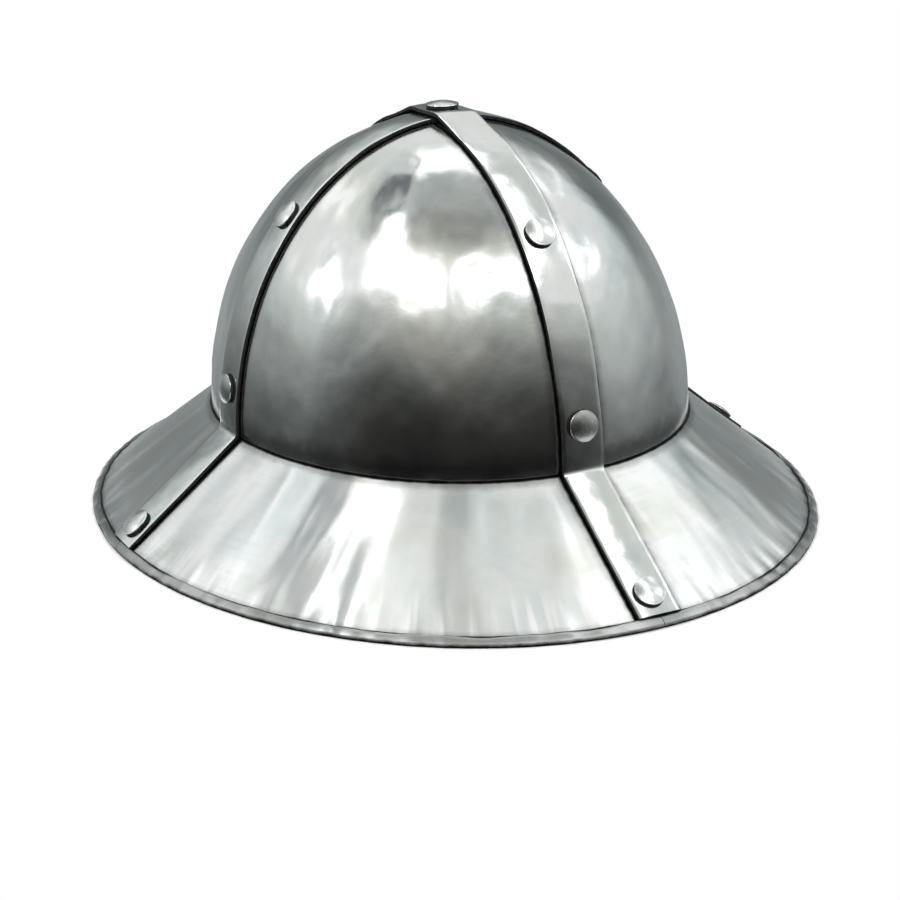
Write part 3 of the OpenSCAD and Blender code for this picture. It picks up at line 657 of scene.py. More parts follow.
def bandStrip(name, turn, stretch, over, seed):
    p = bandStrips
    half = bandRoute(stretch, over)
    route = resample(np.concatenate([(half * [-1, 1])[::-1], half[1:]]), p["step"])
    square = squareTo(route)
    wide, e, t = halfBand, p["edge"], bandThickness
    outline = [(w, t - p["hollow"] * (w / wide) ** 2)
               for w in np.linspace(-wide + e, wide - e, p["topPoints"])]
    side = [(wide - 0.3 * e, t - 0.2 * e - p["hollow"]), (wide, t - e - p["hollow"]), (wide, 0.35 * e),
            (wide - 0.35 * e, 0)]
    outline += side + [(w, 0) for w in np.linspace(wide - e, -wide + e, 5)]
    outline += [(-w, h) for w, h in side[::-1]]
    slotAt = [0] * p["topPoints"] + [1] * (len(outline) - p["topPoints"] - 1) + [0]    # painted black as shade, but for the top
    outline = np.array(outline)
    marks = np.arange(len(route)) * p["step"]
    edges = [1 + p["wander"] * unevenness(np.stack([marks, 0 * marks + k * 40, 0 * marks + seed], axis=1),
                                          p["wanderSize"], seed) / wide for k in (-1, 1)]
    w = outline[None, :, 0] * np.where(outline[None, :, 0] < 0, edges[0][:, None], edges[1][:, None])
    spots = np.stack([marks[:, None] + 0 * w, w, 0 * w], axis=2)
    rise = (p["wave"] * unevenness(spots, p["waveSize"], seed + 9)
            + p["ripple"] * unevenness(spots, p["rippleSize"], seed + 19))
    lift = outline[None, :, 1] * (1 + rise / t)            # the underside lies still
    r = route[:, None, 0] + square[:, None, 0] * lift
    z = route[:, None, 1] + square[:, None, 1] * lift
    c, s = math.cos(math.radians(turn)), math.sin(math.radians(turn))
    sections = np.stack([r * c - w * s, r * s + w * c, z], axis=2)
    return makeSweep(name, sections, spots[:, :, :2], 48, (), slotAt, 1)


for seed, (node, (turn, stretch)) in enumerate(bandStrips["bands"].items()):
    strip = bandStrip(node.replace("band", "band_strip"), turn, stretch, turn == 90, seed + 40)
    settle(strip, [bandSteel, edgeShadeBlack], node)
print("bands made")

# Rivets: low domed heads, struck by hand, with a shank and a peened end inside
rivets = {"head": 13.6, "height": 2.7, "crownHead": 15, "side": 1.5, "fullness": 2.4, "shank": 5, "peen": 1.4,
          "round": 60, "dints": ((0.022, 5.5), (0.006, 1.9)), "outOfRound": 0.018}


def rivetPiece(node, origin, axis, head, seed):
    p = rivets
    origin, axis = np.array(origin), np.array(axis)
    points = np.array([v.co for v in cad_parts[node].data.vertices]) / mm
    inner = float(((points - origin) @ axis).min())          # the end of the peened shank
    half, side = head / 2, p["side"]
    profile = [(half * t, side + (p["height"] - side) * (1 - t ** p["fullness"]))
               for t in np.linspace(0.03, 0.93, 16)]
    profile += [(half * 0.975, side + 0.12), (half, side - 0.18)]
    bright = len(profile)                                    # the wall and the underside stay black: painted shade
    profile += [(half * 0.985, 0.7), (half * 0.93, 0.02), (p["shank"] / 2, 0.02),
                (p["shank"] / 2, inner + p["peen"]), (p["shank"] / 2 + 1.6, inner + p["peen"] * 0.9),
                (p["shank"] / 2 + 1.4, inner + 0.4), (1.2, inner)]
    profile = np.array(profile)
    across = unit(np.cross(axis, [0, 0, 1]) if abs(axis[2]) < 0.9 else np.array([1.0, 0, 0]))
    other = np.cross(axis, across)
    a = np.linspace(0, 2 * math.pi, p["round"], endpoint=False)[:, None]
    r, z = profile[None, :, 0] + 0 * a, profile[None, :, 1] + 0 * a
    spots = np.stack([r * np.cos(a), r * np.sin(a), 0 * r + seed * 31.0], axis=2)
    dints = sum(depth * unevenness(spots, size, seed + i) for i, (depth, size) in enumerate(p["dints"]))
    z = np.where(z > side * 0.6, np.minimum(z + dints, p["height"] + 0.12), z)
    r = np.where(profile[None, :, 1] > 0,
                 r * (1 + p["outOfRound"] * np.sin(2 * a + seed) + 0.007 * np.sin(5 * a + 2 * seed)), r)
    grid = (origin + across * (r * np.cos(a))[:, :, None] + other * (r * np.sin(a))[:, :, None]
            + axis * z[:, :, None])
    rings, count = len(profile), p["round"]
    faces, slots = [], []
    for i in range(count):
        k = (i + 1) % count
        for j in range(rings - 1):
            faces.append((i * rings + j, i * rings + j + 1, k * rings + j + 1, k * rings + j))
            slots.append(0 if j < bright - 1 else 1)
    faces.append(tuple(i * rings for i in range(count)))
    faces.append(tuple(i * rings + rings - 1 for i in range(count))[::-1])
    uvs = np.stack([half * a + 0 * r, r], axis=2).reshape(-1, 2)      # turned: the lines run round
    piece = makePiece("struck_" + node, grid.reshape(-1, 3), faces, uvs, 40, slots + [0, 1], False)
    return settle(piece, [rivetSteel, edgeShadeBlack], node)


rivetPiece("rivet_crown", (0, 0, crownHeight), (0, 0, 1), rivets["crownHead"], 1)
for seed, arm in enumerate(arms):
    rivetPiece(f"rivet_{arm}_upper", *armFrame(arm, hat["upperRivets"]), rivets["head"], 2 + seed)
    rivetPiece(f"rivet_{arm}_lower", *armFrame(arm, hat["lowerRivets"]), rivets["head"], 12 + seed)
    rivetPiece(f"rivet_{arm}_brim", *brimFrame(arm), rivets["head"], 22 + seed)
print("rivets made")

# Liner: a head band on the lower rivets, eight tongues sewn to it and a round patch at the crown
liner = {"lapAt": 112, "lapEnd": 16, "lapRise": 6, "around": 200, "heightRows": 9,     # lapAt in degrees
         "stitchStep": 5.2, "stitchIn": 4, "bandRim": 1.5, "bandRounding": 0.45, "rim": 1.6, "rounding": 0.5,
         "tongues": 8, "tongueFrom": 34, "tongueRadius": 9, "tongueRows": 44, "tongueColumns": 15,
         "outlineAt": (9, 60, 92, 125), "outlineHalf": (3, 20, 34, 34),
         "patchRadius": 28, "patchHole": 1.4, "ripple": 0.28, "rippleSize": 38,
         "thread": 0.9, "stitch": 3.6,
         "stitchShape": ((-1, 0.2), (-0.8, 0.8), (-0.3, 1), (0.3, 1), (0.8, 0.8), (1, 0.2))}


def makeStitches(name, spots, body):         # spots: middle, direction, outward, each a short stitch
    thick, half = liner["thread"] / 2, liner["stitch"] / 2
    turns = np.linspace(0, 2 * math.pi, 6, endpoint=False)[:, None]
    stitches = []
    for middle, along, out in spots:
        ring = np.cross(out, along) * np.cos(turns) + out * np.sin(turns)
        stitches.append(np.array([
            middle + along * half * t + thick * (out * (1.1 - 1.3 * t * t) + fat * ring)
            for t, fat in liner["stitchShape"]]))
    return settle(makeSweep(name, stitches[0], sharp=60, extra=stitches[1:]), [linenThread], body=body)


def alongLine(route, step, outward):         # evenly spaced stitches along a line of points
    even = resample(np.asarray(route), step / 2)
    spots = []
    for i in range(1, len(even) - 1, 2):
        along = unit(even[i + 1] - even[i - 1])
        out = outward(even[i])
        spots.append((even[i], along, unit(out - along * float(out @ along))))
    return spots


def towardsHead(point):                      # inward from the liner to the middle of the head
    return unit(np.array([0, 0, crease + 20.0]) - point)


def towardsAxis(point):                      # the same, but level
    return -point * [1, 1, 0]


def linerBand():
    low, high = hat["linerFrom"], hat["linerFrom"] + hat["linerHeight"]
    girth = 2 * math.pi * meanRadius
    marks = np.linspace(0, girth + liner["lapEnd"], liner["around"])
    angles = math.radians(liner["lapAt"]) + marks / meanRadius
    inset = (leather + 0.1) * smooth(marks, girth - liner["lapRise"], girth)       # the end laps its start
    heights = np.linspace(low, high, liner["heightRows"])
    rim = np.minimum(1, np.minimum(heights - low, high - heights) / liner["bandRim"])
    thin = liner["bandRounding"] * (1 - rim)
    up = np.arcsin(heights / (domeHeight - linerDepth))
    skins = []
    for depth in (linerDepth + thin, linerDepth + leather - thin):
        depth = depth[None, :] + inset[:, None]
        skins.append(ellipsePoint(angles[:, None], (meanRadius - depth) * np.cos(up), crease + heights))
    uvs = np.stack(np.broadcast_arrays(marks[:, None], heights[None, :]), axis=2)
    piece = makeShell("head_band_leather", skins[0], skins[1], uvs, sharp=60)
    settle(piece, [linerLeather, linerEdge], "liner_band")
    spots = []
    for h in (low + liner["stitchIn"], high - liner["stitchIn"]):
        r = (meanRadius - linerDepth - leather) * math.cos(math.asin(h / (domeHeight - linerDepth)))
        spots += alongLine(ellipsePoint(angles[:-12], r, crease + h), liner["stitchStep"], towardsAxis)
    end = skins[1][-3]
    spots += alongLine(end[1:-1], liner["stitchStep"], towardsAxis)
    makeStitches("head_band_stitches", spots, "helmet")


def linerTongue(i):
    middle = math.radians((i + 0.5) * 360 / liner["tongues"])
    c, s = math.cos(middle), math.sin(middle)
    reach = capRadius * math.hypot(c * sideStretch, s * longStretch)
    ups = np.linspace(math.asin(liner["tongueFrom"] / capHeight), math.acos(liner["tongueRadius"] / reach),
                      liner["tongueRows"])
    shares = np.linspace(-1, 1, liner["tongueColumns"])
    shares = np.sign(shares) * np.abs(shares) ** 0.85
    stretchHere = 1 / math.hypot(c / sideStretch, s / longStretch)
    radius = capRadius * np.cos(ups)[:, None]
    half = np.interp(radius * stretchHere, liner["outlineAt"], liner["outlineHalf"])
    side = half * shares[None, :]
    # a, b, q: the quadratic for how far out a point beside the tongue's middle meets the ellipse
    a = (c / sideStretch) ** 2 + (s / longStretch) ** 2
    b = 2 * side * c * s * (1 / longStretch ** 2 - 1 / sideStretch ** 2)
    q = side ** 2 * ((s / sideStretch) ** 2 + (c / longStretch) ** 2) - radius ** 2
    out = (-b + np.sqrt(np.maximum(b * b - 4 * a * q, 0))) / (2 * a)
    points = np.stack([out * c - side * s, out * s + side * c,
                       crease + capHeight * np.sin(ups)[:, None] + 0 * side], axis=2)
    axes = np.array([sideStretch * capRadius, longStretch * capRadius, capHeight])
    square = unit((points - [0, 0, crease]) / axes ** 2)
    edge = liner["rounding"] * (1 - np.minimum(1, (1 - np.abs(shares)) * half / liner["rim"]))
    sag = liner["ripple"] * (0.5 + 0.5 * np.tanh(unevenness(points, liner["rippleSize"], i + 60)))
    skins = [points - square * (deep + sag)[:, :, None] for deep in (edge, leather - edge)]
    uvs = np.stack([side + 0 * radius, radius + 0 * side], axis=2)
    piece = makeShell(f"tongue_leather_{i + 1}", skins[0], skins[1], uvs, sharp=60)
    settle(piece, [linerLeather, linerEdge], f"liner_tongue_{i + 1}")
    return alongLine(skins[1][2, 1:-1], liner["stitchStep"], towardsHead)


def crownPatch():
    ball = (sideStretch * capRadius) ** 2 / capHeight
    base = crease + capHeight - leather - seat - ball
    turns = np.linspace(0, 2 * math.pi, 84, endpoint=False)[:, None]
    radii = np.concatenate([[liner["patchHole"]], np.linspace(3, liner["patchRadius"] - liner["rim"], 12),
                            liner["patchRadius"] - np.array([0.8, 0.3, 0])])[None, :]
    edge = liner["rounding"] * (1 - np.minimum(1, (liner["patchRadius"] - radii) / liner["rim"]))
    skins = []
    for depth in (edge, leather - edge):
        height = base + np.sqrt(ball ** 2 - radii ** 2) - depth + 0 * turns
        skins.append(np.stack([radii * np.cos(turns), radii * np.sin(turns), height], axis=2))
    piece = makeShell("crown_patch_leather", skins[0], skins[1], skins[0][:, :, :2], True, 60)
    settle(piece, [linerLeather, linerEdge], "liner_crown_patch")
    ring = skins[1][:, 10]
    return alongLine(np.concatenate([ring, ring[:1]]), liner["stitchStep"], towardsHead)


linerBand()
makeStitches("tongue_stitches", sum((linerTongue(i) for i in range(liner["tongues"])), []), "helmet")
makeStitches("crown_patch_stitches", crownPatch(), "helmet")
print("liner made")

# Chin strap: two leather halves that swivel on the lower side rivets and end just above the table
strap = {"width": 20, "spacer": 1.2, "hang": 14, "turnRadius": 7, "tableGap": 0.8, "end": 11,
         "foldLength": 62, "foldGap": 0.8, "bar": 3, "play": 0.15, "buckleLength": 22, "barInside": 5,
         "sewn": 20, "slotWidth": 6, "slotAhead": 10, "slotBehind": 7, "rivetHole": 5.15,
         "holeDepth": (-22, -6),             # along the rivet's axis, from the head inwards
         "holes": 4, "holeStep": 9, "hole": 3, "tip": 9, "keeperAt": 26, "keeperWidth": 10, "keeperWall": 1.5,
         "step": 0.9, "warp": 0.12, "warpSize": 30, "warpFrom": 14, "rim": 0.55}
strapLow = strap["tableGap"] + leather / 2
eyeDiameter = strap["bar"] + strap["play"] + 2 * leather
barX = strap["end"] + strap["buckleLength"] + strap["barInside"]
barZ = strap["tableGap"] + eyeDiameter / 2


def strapPivot():                            # where the strap's middle lies on the left rivet's axis
    origin, axis = armFrame("left", hat["lowerRivets"])
    tilt = math.atan2(axis[2], axis[0])

    def reach(d):
        return math.hypot(sideStretch * (meanRadius + d) * math.cos(tilt), (domeHeight + d) * math.sin(tilt))

    face = reach(seat + bandThickness) - reach(-linerDepth - leather) + 0.2
    inward = face + strap["spacer"] + seat + leather / 2
    return np.array((origin[0], origin[2])) - inward * np.array((math.cos(tilt), math.sin(tilt))), tilt


def strapRoute(ending):                      # side view of a left strap, from its top to its end
    pivot, tilt = strapPivot()
    down = np.array((math.sin(tilt), -math.cos(tilt)))
    foot = pivot + strap["hang"] * down
    turn = strap["turnRadius"]
    bend = [(foot[0] - turn * (1 - math.cos(a)), strapLow + turn * (1 - math.sin(a)))
            for a in np.linspace(0, math.pi / 2, 12)]
    return np.array([tuple(pivot - strap["width"] / 2 * down), tuple(foot)] + bend + ending)


def strapPiece(name, ending, mirrored, tip, seed):
    p = strap
    route = resample(strapRoute(ending), p["step"])
    square = squareTo(route)
    marks = np.arange(len(route)) * p["step"]
    half = np.full(len(route), p["width"] / 2)
    ahead = p["width"] / 2 - marks                         # the end at the rivet is round
    half = np.where(ahead > 0, np.sqrt(np.maximum(half ** 2 - ahead ** 2, 0.6)), half)
    if tip:                                  # the other end is cut to a point
        left = marks[-1] - marks
        half = np.where(left < p["tip"], (left + 1) / (p["tip"] + 1) * p["width"] / 2, half)
    e, t = p["rim"], leather / 2
    shares = np.linspace(-1, 1, 9)
    outline = np.array([(w, t, e) for w in shares] + [(1, t - e, 0), (1, -t + e, 0)]
                       + [(w, -t, e) for w in shares[::-1]] + [(-1, -t + e, 0), (-1, t - e, 0)])
    w = outline[None, :, 0] * (half[:, None] - outline[None, :, 2])
    spots = np.stack([marks[:, None] + 0 * w, w, 0 * w], axis=2)
    warp = p["warp"] * unevenness(spots, p["warpSize"], seed)
    lift = outline[None, :, 1] + warp * (marks > p["warpFrom"])[:, None]
    turn = -1 if mirrored else 1
    sections = np.stack([turn * (route[:, None, 0] + square[:, None, 0] * lift), turn * w,
                         route[:, None, 1] + square[:, None, 1] * lift], axis=2)
    slotAt = ([0] * (len(shares) - 1) + [1] * 3) * 2       # the face, then the cut edge, on either side
    return makeSweep(name, sections, spots[:, :, :2], 50, (), slotAt, 1)


def rivetHole(mirrored):
    origin, axis = armFrame("left", hat["lowerRivets"])
    turn = -1 if mirrored else 1
    return makePin((origin[0] * turn, 0, origin[2]), (axis[0] * turn, 0, axis[2]), strap["rivetHole"] / 2,
                   *strap["holeDepth"])


def makeBlock(low, high):
    xs, ys, zs = zip(low, high)
    points = [(x, y, z) for x in xs for y in ys for z in zs]
    faces = [(0, 1, 3, 2), (4, 6, 7, 5), (0, 4, 5, 1), (2, 3, 7, 6), (0, 2, 6, 4), (1, 5, 7, 3)]
    return makePiece("cutter", points, faces)


eyeRadius = (eyeDiameter - leather) / 2
eye = [(barX + eyeRadius * math.cos(a), barZ + eyeRadius * math.sin(a))
       for a in np.linspace(-math.pi / 2, -3 * math.pi / 2, 15)]
upperZ = strap["tableGap"] + 1.5 * leather
sewnFrom = barX + strap["sewn"] - 8
buckleEnd = eye + [(barX + (sewnFrom - barX) * t, upperZ + (eye[-1][1] - upperZ) * (1 - smooth(t)))
                   for t in np.linspace(0.1, 1, 9)] + [(barX + strap["sewn"], upperZ)]
piece = strapPiece("buckle_strap_leather", buckleEnd, False, False, 81)
pierce(piece, [rivetHole(False), makeBlock((barX - strap["slotAhead"], -strap["slotWidth"] / 2, -2),
                                           (barX + strap["slotBehind"], strap["slotWidth"] / 2, 14))])
settle(piece, [strapLeather, strapEdge], "strap_left", "strap_left")

foldRadius = (leather + strap["foldGap"]) / 2
foldX = strap["end"] + foldRadius + leather / 2
tipX, foldTop = strap["end"] + strap["foldLength"], strapLow + 2 * foldRadius
fold = [(foldX - foldRadius * math.sin(a), strapLow + foldRadius * (1 - math.cos(a)))
        for a in np.linspace(0, math.pi, 13)]
piece = strapPiece("pierced_strap_leather", fold + [(tipX, foldTop)], True, True, 82)
holes = [makePin((-(tipX - 2 * strap["tip"] - i * strap["holeStep"]), 0, 0), (0, 0, 1), strap["hole"] / 2,
                 foldTop - leather / 2 - 0.35, foldTop + 4) for i in range(strap["holes"])]
pierce(piece, [rivetHole(True)] + holes)
settle(piece, [strapLeather, strapEdge], "strap_right", "strap_right")

seams = [(np.array((barX + strap["sewn"] - x, y, upperZ + leather / 2 + 0.1)), np.array((0, 1.0, 0)),
          np.array((0, 0, 1.0))) for x in (2.2, 6.4) for y in np.linspace(-7.5, 7.5, 4)]
makeStitches("buckle_strap_stitches", seams, "strap_left")


def keeperLoop():                            # a leather loop round the buckle's strap
    p = strap
    wide, low, high = p["width"] / 2 + 0.3, p["tableGap"] - 0.1, p["tableGap"] + leather + 0.1
    turns = np.linspace(0, 2 * math.pi, 64, endpoint=False)
    middle = (low + high) / 2

    def squarish(halfWide, halfHigh, a):     # a loop with round corners, about the strap
        c, s = np.cos(a), np.sin(a)
        k = (np.abs(c) ** 8 + np.abs(s) ** 8) ** (-1 / 8)
        return halfWide * k * c, halfHigh * k * s

    inY, inZ = squarish(wide, (high - low) / 2, turns)
    outY, outZ = squarish(wide + p["keeperWall"], (high - low) / 2 + p["keeperWall"], turns)
    outZ = np.maximum(middle + outZ, 0.15) - middle        # the loop is thin under the strap
    across = np.array([-1, -0.9, -0.5, 0, 0.5, 0.9, 1]) * p["keeperWidth"] / 2
    rim = 0.3 * (np.abs(across) > p["keeperWidth"] / 2 - 0.1)
    x = barX + p["keeperAt"] + across
    outer = np.stack([x[None, :] + 0 * outY[:, None], outY[:, None] * (1 - rim / wide)[None, :],
                      middle + outZ[:, None] * (1 - rim / 2)[None, :]], axis=2)
    inner = np.stack([x[None, :] + 0 * inY[:, None], inY[:, None] + 0 * x[None, :],
                      middle + inZ[:, None] + 0 * x[None, :]], axis=2)
    piece = makeShell("keeper_leather", outer, inner, outer[:, :, :2], True, 50)
    settle(piece, [strapLeather, strapEdge], "strap_keeper", "strap_left")


keeperLoop()
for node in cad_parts.values():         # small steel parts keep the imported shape
    if node.name.startswith(("washer", "spacer", "buckle")):
        node.data.materials.clear()
        node.data.materials.append(buckleSteel if node.name.startswith("buckle") else washerSteel)
print("chin strap made")

# Camera, where the photographer stood
cameraView = {"distance": 0.9155, "aimHeight": 0.09, "elevation": 15.342, "turn": 27.17, "roll": -0.967,
              "pitch": 4.25, "yaw": -0.059, "focalPixels": 1972.1, "picture": 900, "sensor": 36}


def placeCamera():
    v = cameraView
    e, turn = math.radians(v["elevation"]), math.radians(v["turn"])
    tip, yaw, roll = (math.radians(a) for a in (v["elevation"] + v["pitch"], v["yaw"], v["roll"]))
    place = Vector((-math.sin(turn) * math.cos(e), -math.cos(turn) * math.cos(e), math.sin(e)))
    back = Vector((math.sin(yaw) * math.cos(tip), -math.cos(yaw) * math.cos(tip), math.sin(tip)))
    back = Matrix.Rotation(-turn, 3, "Z") @ back
    right = Vector((0, 0, 1)).cross(back).normalized()
    up = back.cross(right)
    right, up = (math.cos(roll) * right + math.sin(roll) * up, -math.sin(roll) * right + math.cos(roll) * up)
    data = bpy.data.cameras.new("camera")
    data.sensor_width = v["sensor"]
    data.lens = v["focalPixels"] / v["picture"] * v["sensor"]
    data.clip_start = 0.01
    camera = bpy.data.objects.new("camera", data)
    turned = Matrix((right, up, back)).transposed().to_4x4()
    camera.matrix_world = Matrix.Translation(place * v["distance"] + Vector((0, 0, v["aimHeight"]))) @ turned
    bpy.context.scene.collection.objects.link(camera)
    bpy.context.scene.camera = camera


placeCamera()

# Studio: a white room and table, lamps, and grey drapes with a dark flag that only the steel mirrors
studio = {
    "tableLength": 0.226, "tableWidth": 0.206, "tableColour": "f9f9f8",
    "shadowTo": 0.99, "clearFrom": 1.06,     # shares of the brim's length and width
    "openTo": 0.96,                          # open under the hat, so that its inside shows from below
    "roomLight": 0.9, "drapeRadius": 3.0, "aim": 0.09,
    # elevation in degrees and light of the drapes, by side seen from the camera; above the last
    # place of the skirt and below the first of the canopy the white room shows
    "skirt": {"front": [(-34, .012), (-20, .012), (-2, .028), (6, .06), (14, .14), (22, .26), (30, .46),
                        (38, .66), (43, 1.0)],
              "left": [(-34, .05), (-18, .09), (-10, .14), (-2, .28), (6, .46), (14, .7), (22, .9),
                       (24, 1.0)],
              "right": [(-34, .07), (-18, .15), (-10, .27), (-2, .4), (6, .56), (14, .68), (22, .8),
                        (25, 1.0)],
              "rear": [(-34, .15), (-18, .3), (-10, .4), (0, .33), (8, .22), (17, .18), (26, .3),
                       (36, 1.0)]},
    "under": [(-90, .9), (-48, .7)],         # lighter below, for the inside of the hat
    "canopy": {"side": [(47, .93), (54, .82), (62, .69), (70, .64), (78, .58), (90, .52)],
               "front": [(56, 1.0), (62, .87), (66, .66), (70, .47), (78, .32), (90, .52)]},
    "skirtTop": [(0, 43), (30, 43), (48, 38.5), (60, 34.5), (84, 24), (115, 25), (130, 33), (180, 36)],
    "canopyFoot": [(0, 57), (45, 55), (70, 50), (95, 47), (180, 47)],
    # azimuth from the camera's side, elevation, distance, width, height, light
    "softboxes": [(-40, 50, 2.9, 1.6, 0.75, 1.8), (24, 53, 2.9, 1.7, 0.7, 1.8),
                  (-86, 31, 2.9, 1.1, 0.65, 1.2), (-122, 42, 2.9, 1.0, 0.4, 0.5),
                  (98, 41, 2.9, 0.95, 0.9, 1.1), (140, 44, 2.9, 0.8, 0.4, 0.9),
                   (180, 64, 2.9, 1.5, 0.9, 1.2)],
    # two strip lights that run up and over: middle and ends seen from the camera (front, right, up)
    "strips": [((0.41, -0.59, 0.70), (0.0, -0.41, 0.91), 2.85, 0.32, 3.2),
               ((0.42, 0.58, 0.70), (-0.3, 0.27, 0.915), 2.85, 0.38, 1.9)],
    # a dark flag beside the first of them, placed the same way
    "flag": ((0.12, -0.60, 0.79), (-0.4, -0.30, 0.87), 2.6, 0.32), "flagGrey": (0.04, 0.05, 0.075),
    "tints": {"front": (1.0, 1.0, 0.94), "left": (0.95, 1.0, 0.99), "right": (0.95, 1.0, 0.99),
              "rear": (0.93, 1.0, 1.0), "side": (0.96, 1.0, 0.98)},      # what the room adds to the greys
}
viewTurn = math.radians(cameraView["turn"])
cameraSide = Vector((-math.sin(viewTurn), -math.cos(viewTurn), 0))
cameraRight = Vector((math.cos(viewTurn), -math.sin(viewTurn), 0))
upward = Vector((0, 0, 1))


def addVector(tree, operation, *terms, gives="Vector"):
    return addNode(tree, "ShaderNodeVectorMath", dict(enumerate(terms)), operation=operation), gives


def stripEnds(low, high, distance):          # two ends of a long strip, given as the camera sees them
    return [(cameraSide * front + cameraRight * right + upward * up).normalized() * distance
            for front, right, up in (low, high)]


def hangMirrored(piece, material):           # only metal and glass see it
    piece.location.z = studio["aim"]
    piece.data.materials.append(material)
    piece.visible_camera = piece.visible_diffuse = piece.visible_shadow = False


def glowingCloth(material, tree, colour):    # its light needs no lamp
    glow = addNode(tree, "ShaderNodeEmission", {"Color": colour})
    addNode(tree, "ShaderNodeOutputMaterial", {"Surface": (glow, "Emission")})
    material.cycles.emission_sampling = "NONE"
    return material


def greyRamp(tree, height, stops, side):     # height: -90 to 90 degrees as 0 to 1
    tint = studio["tints"][side]
    return addRamp(tree, height, [((degrees + 90) / 180, tuple(light * c for c in tint) + (1,))
                                  for degrees, light in stops])


def greyDrapes(name, canopy):
    # grey cloth, evenly lit: it is there to be mirrored, darkest low in front
    material, tree, place = startMaterial(name)
    way = addVector(tree, "NORMALIZE", place)
    upwards = addNode(tree, "ShaderNodeSeparateXYZ", {"Vector": way}), "Z"
    height = addRange(tree, addMath(tree, "ARCSINE", upwards), -math.pi / 2, math.pi / 2)
    low = [] if canopy else studio["under"]
    ramps = {side: greyRamp(tree, height, low + stops, side)
             for side, stops in studio["canopy" if canopy else "skirt"].items()}
    level = addVector(tree, "NORMALIZE", addVector(tree, "MULTIPLY", place, (1, 1, 0)))
    shade = ramps["side" if canopy else "left"]
    for side, axis, start, full in (("right", cameraRight, -0.4, 0.4), ("front", cameraSide, 0.0, 0.8),
                                    ("rear", -cameraSide, 0.55, 0.85)):
        if side in ramps:
            facing = addVector(tree, "DOT_PRODUCT", level, tuple(axis), gives="Value")
            share = addRange(tree, facing, start, full, curve="SMOOTHSTEP")
            shade = addMix(tree, share, shade, ramps[side])
    return glowingCloth(material, tree, shade)


def hangDrapes():
    count, radius = 72, studio["drapeRadius"] / mm
    turns = np.linspace(0, 2 * math.pi, count, endpoint=False)[:, None]
    ways = np.stack([np.cos(turns), np.sin(turns)], axis=2)
    azimuths = np.degrees(np.arccos(np.clip(ways @ np.array(cameraSide[:2]), -1, 1)))
    top, foot = (np.interp(azimuths, *zip(*studio[k])) for k in ("skirtTop", "canopyFoot"))
    for name, canopy, low, high, rows in (("drape_skirt", False, -89, top, 40),
                                          ("drape_canopy", True, foot, 89.5, 16)):
        ups = np.radians(low + (high - low) * np.linspace(0, 1, rows)[None, :])
        points = radius * np.concatenate([np.cos(ups)[:, :, None] * ways, np.sin(ups)[:, :, None]], axis=2)
        drape = makePiece(name, points.reshape(-1, 3), gridFaces(count, rows, 0, False, True), closed=False)
        hangMirrored(drape, greyDrapes(name.replace("_", " "), canopy))


def shownRays(tree):                         # 1 for what the camera sees, also in metal or glass
    ray = addNode(tree, "ShaderNodeLightPath")
    seen = addMath(tree, "MAXIMUM", (ray, "Is Camera Ray"), (ray, "Is Glossy Ray"))
    return addMath(tree, "MAXIMUM", seen, (ray, "Is Transmission Ray"))


def hangLamp(name, place, along, width, height, light):  # light is what a mirror shows of it
    back = place.normalized()
    across = (along - back * along.dot(back)).normalized()
    lamp = bpy.data.lights.new(name, "AREA")
    lamp.shape, lamp.size, lamp.size_y = "RECTANGLE", width, height
    lamp.energy = light * math.pi * width * height
    holder = bpy.data.objects.new(name, lamp)
    turned = Matrix((across, back.cross(across), back)).transposed().to_4x4()
    holder.matrix_world = Matrix.Translation(place + Vector((0, 0, studio["aim"]))) @ turned
    bpy.context.scene.collection.objects.link(holder)


def hangFlag():                              # a dark cloth that the steel mirrors as a dark stripe
    *places, width = studio["flag"]
    ends = stripEnds(*places)
    side = (ends[1] - ends[0]).cross(ends[0] + ends[1]).normalized() * width / 2
    corners = [end + side * k for end, k in ((ends[0], -1), (ends[0], 1), (ends[1], 1), (ends[1], -1))]
    flag = makePiece("flag", [tuple(c / mm) for c in corners], [(0, 1, 2, 3)], closed=False)
    hangMirrored(flag, glowingCloth(*startMaterial("dark flag")[:2], (*studio["flagGrey"], 1)))


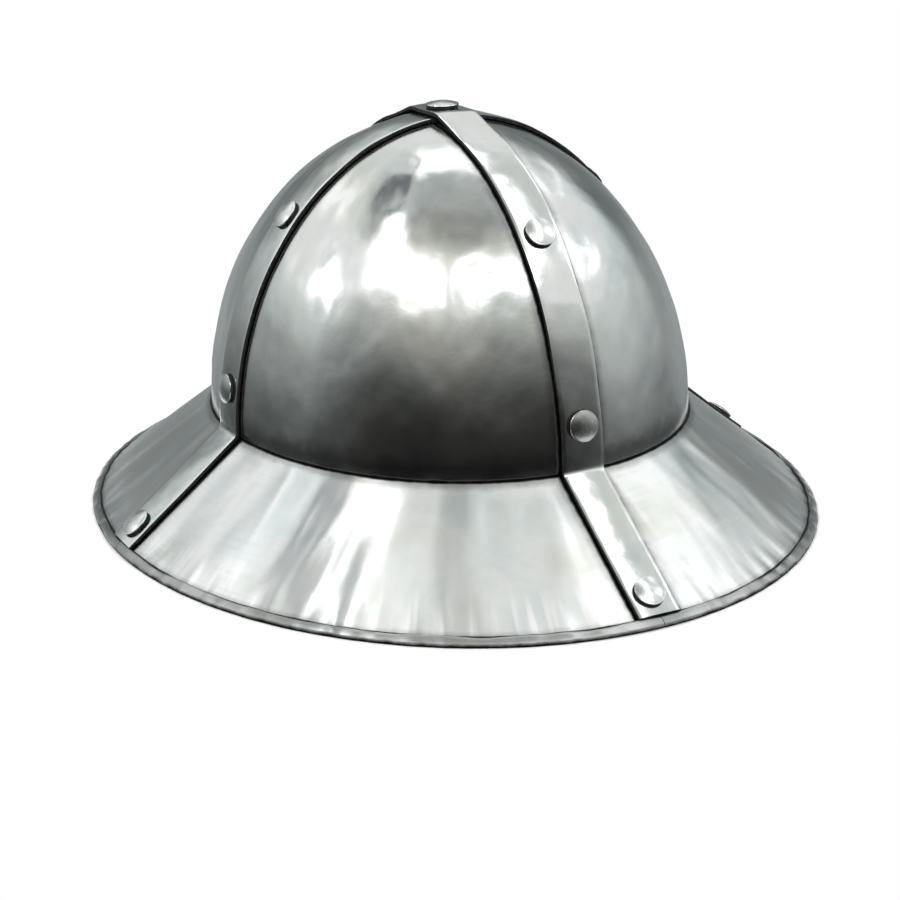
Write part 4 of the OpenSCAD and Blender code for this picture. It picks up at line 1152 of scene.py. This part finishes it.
def lightStudio():
    world = bpy.data.worlds.new("studio")
    world.use_nodes = True
    bpy.context.scene.world = world
    tree = world.node_tree
    tree.nodes.clear()
    strength = addRange(tree, shownRays(tree), 0.0, 1.0, studio["roomLight"], 1.0)
    white = addNode(tree, "ShaderNodeBackground", {"Color": (1, 1, 1, 1), "Strength": strength})
    addNode(tree, "ShaderNodeOutputWorld", {"Surface": (white, "Background")})
    for number, (azimuth, rise, distance, width, height, light) in enumerate(studio["softboxes"]):
        a, e = math.radians(azimuth), math.radians(rise)
        way = (cameraSide * math.cos(a) + cameraRight * math.sin(a)) * math.cos(e) + upward * math.sin(e)
        hangLamp(f"softbox {number + 1}", way * distance, upward.cross(way), width, height, light)
    for number, (*places, width, light) in enumerate(studio["strips"]):
        ends = stripEnds(*places)
        hangLamp(f"strip {number + 1}", (ends[0] + ends[1]) / 2, ends[1] - ends[0],
                 (ends[1] - ends[0]).length, width, light)


def laminateTable():
    # white laminate: matt and plain, it keeps the soft shadow under the brim
    material, tree, place = startMaterial("white laminate")
    matt = addNode(tree, "ShaderNodeBsdfDiffuse", {"Color": paint(studio["tableColour"])})
    plain = addNode(tree, "ShaderNodeEmission", {"Color": (1, 1, 1, 1), "Strength": 1.0})
    brimShape = [1 / ((meanRadius + hat["brimWidth"]) * stretch * mm)
                 for stretch in (sideStretch, longStretch)]
    away = addVector(tree, "LENGTH", addVector(tree, "MULTIPLY", place, (*brimShape, 0)), gives="Value")
    fade = addRange(tree, away, studio["shadowTo"], studio["clearFrom"], curve="SMOOTHSTEP")
    share = addMath(tree, "MULTIPLY", shownRays(tree), fade)
    blend = addNode(tree, "ShaderNodeMixShader", {0: share, 1: (matt, "BSDF"), 2: (plain, "Emission")})
    side = addNode(tree, "ShaderNodeNewGeometry")
    clear = addNode(tree, "ShaderNodeBsdfTransparent")
    shown = addNode(tree, "ShaderNodeMixShader", {           # from below the table isn't in the way
        0: (side, "Backfacing"), 1: (blend, "Shader"), 2: (clear, "BSDF")})
    addNode(tree, "ShaderNodeOutputMaterial", {"Surface": (shown, "Shader")})
    material.cycles.emission_sampling = "NONE"
    return material


def layTable():
    count, gap = 96, 0.05                    # the table lies a hair below the hem, so that they don't fight
    opening = studio["openTo"] * (meanRadius + hat["brimWidth"])       # the hat hides it
    rings = ((sideStretch * opening, longStretch * opening),
             (studio["tableWidth"] / mm, studio["tableLength"] / mm))
    points = [(wide * math.cos(2 * math.pi * i / count), long * math.sin(2 * math.pi * i / count), -gap)
              for i in range(count) for wide, long in rings]
    table = makePiece("table", points, gridFaces(count, 2, 0, True, True), closed=False)
    table.data.materials.append(laminateTable())


lightStudio()
hangDrapes()
hangFlag()
layTable()
bpy.context.scene.view_settings.view_transform = "Standard"
print("studio set")
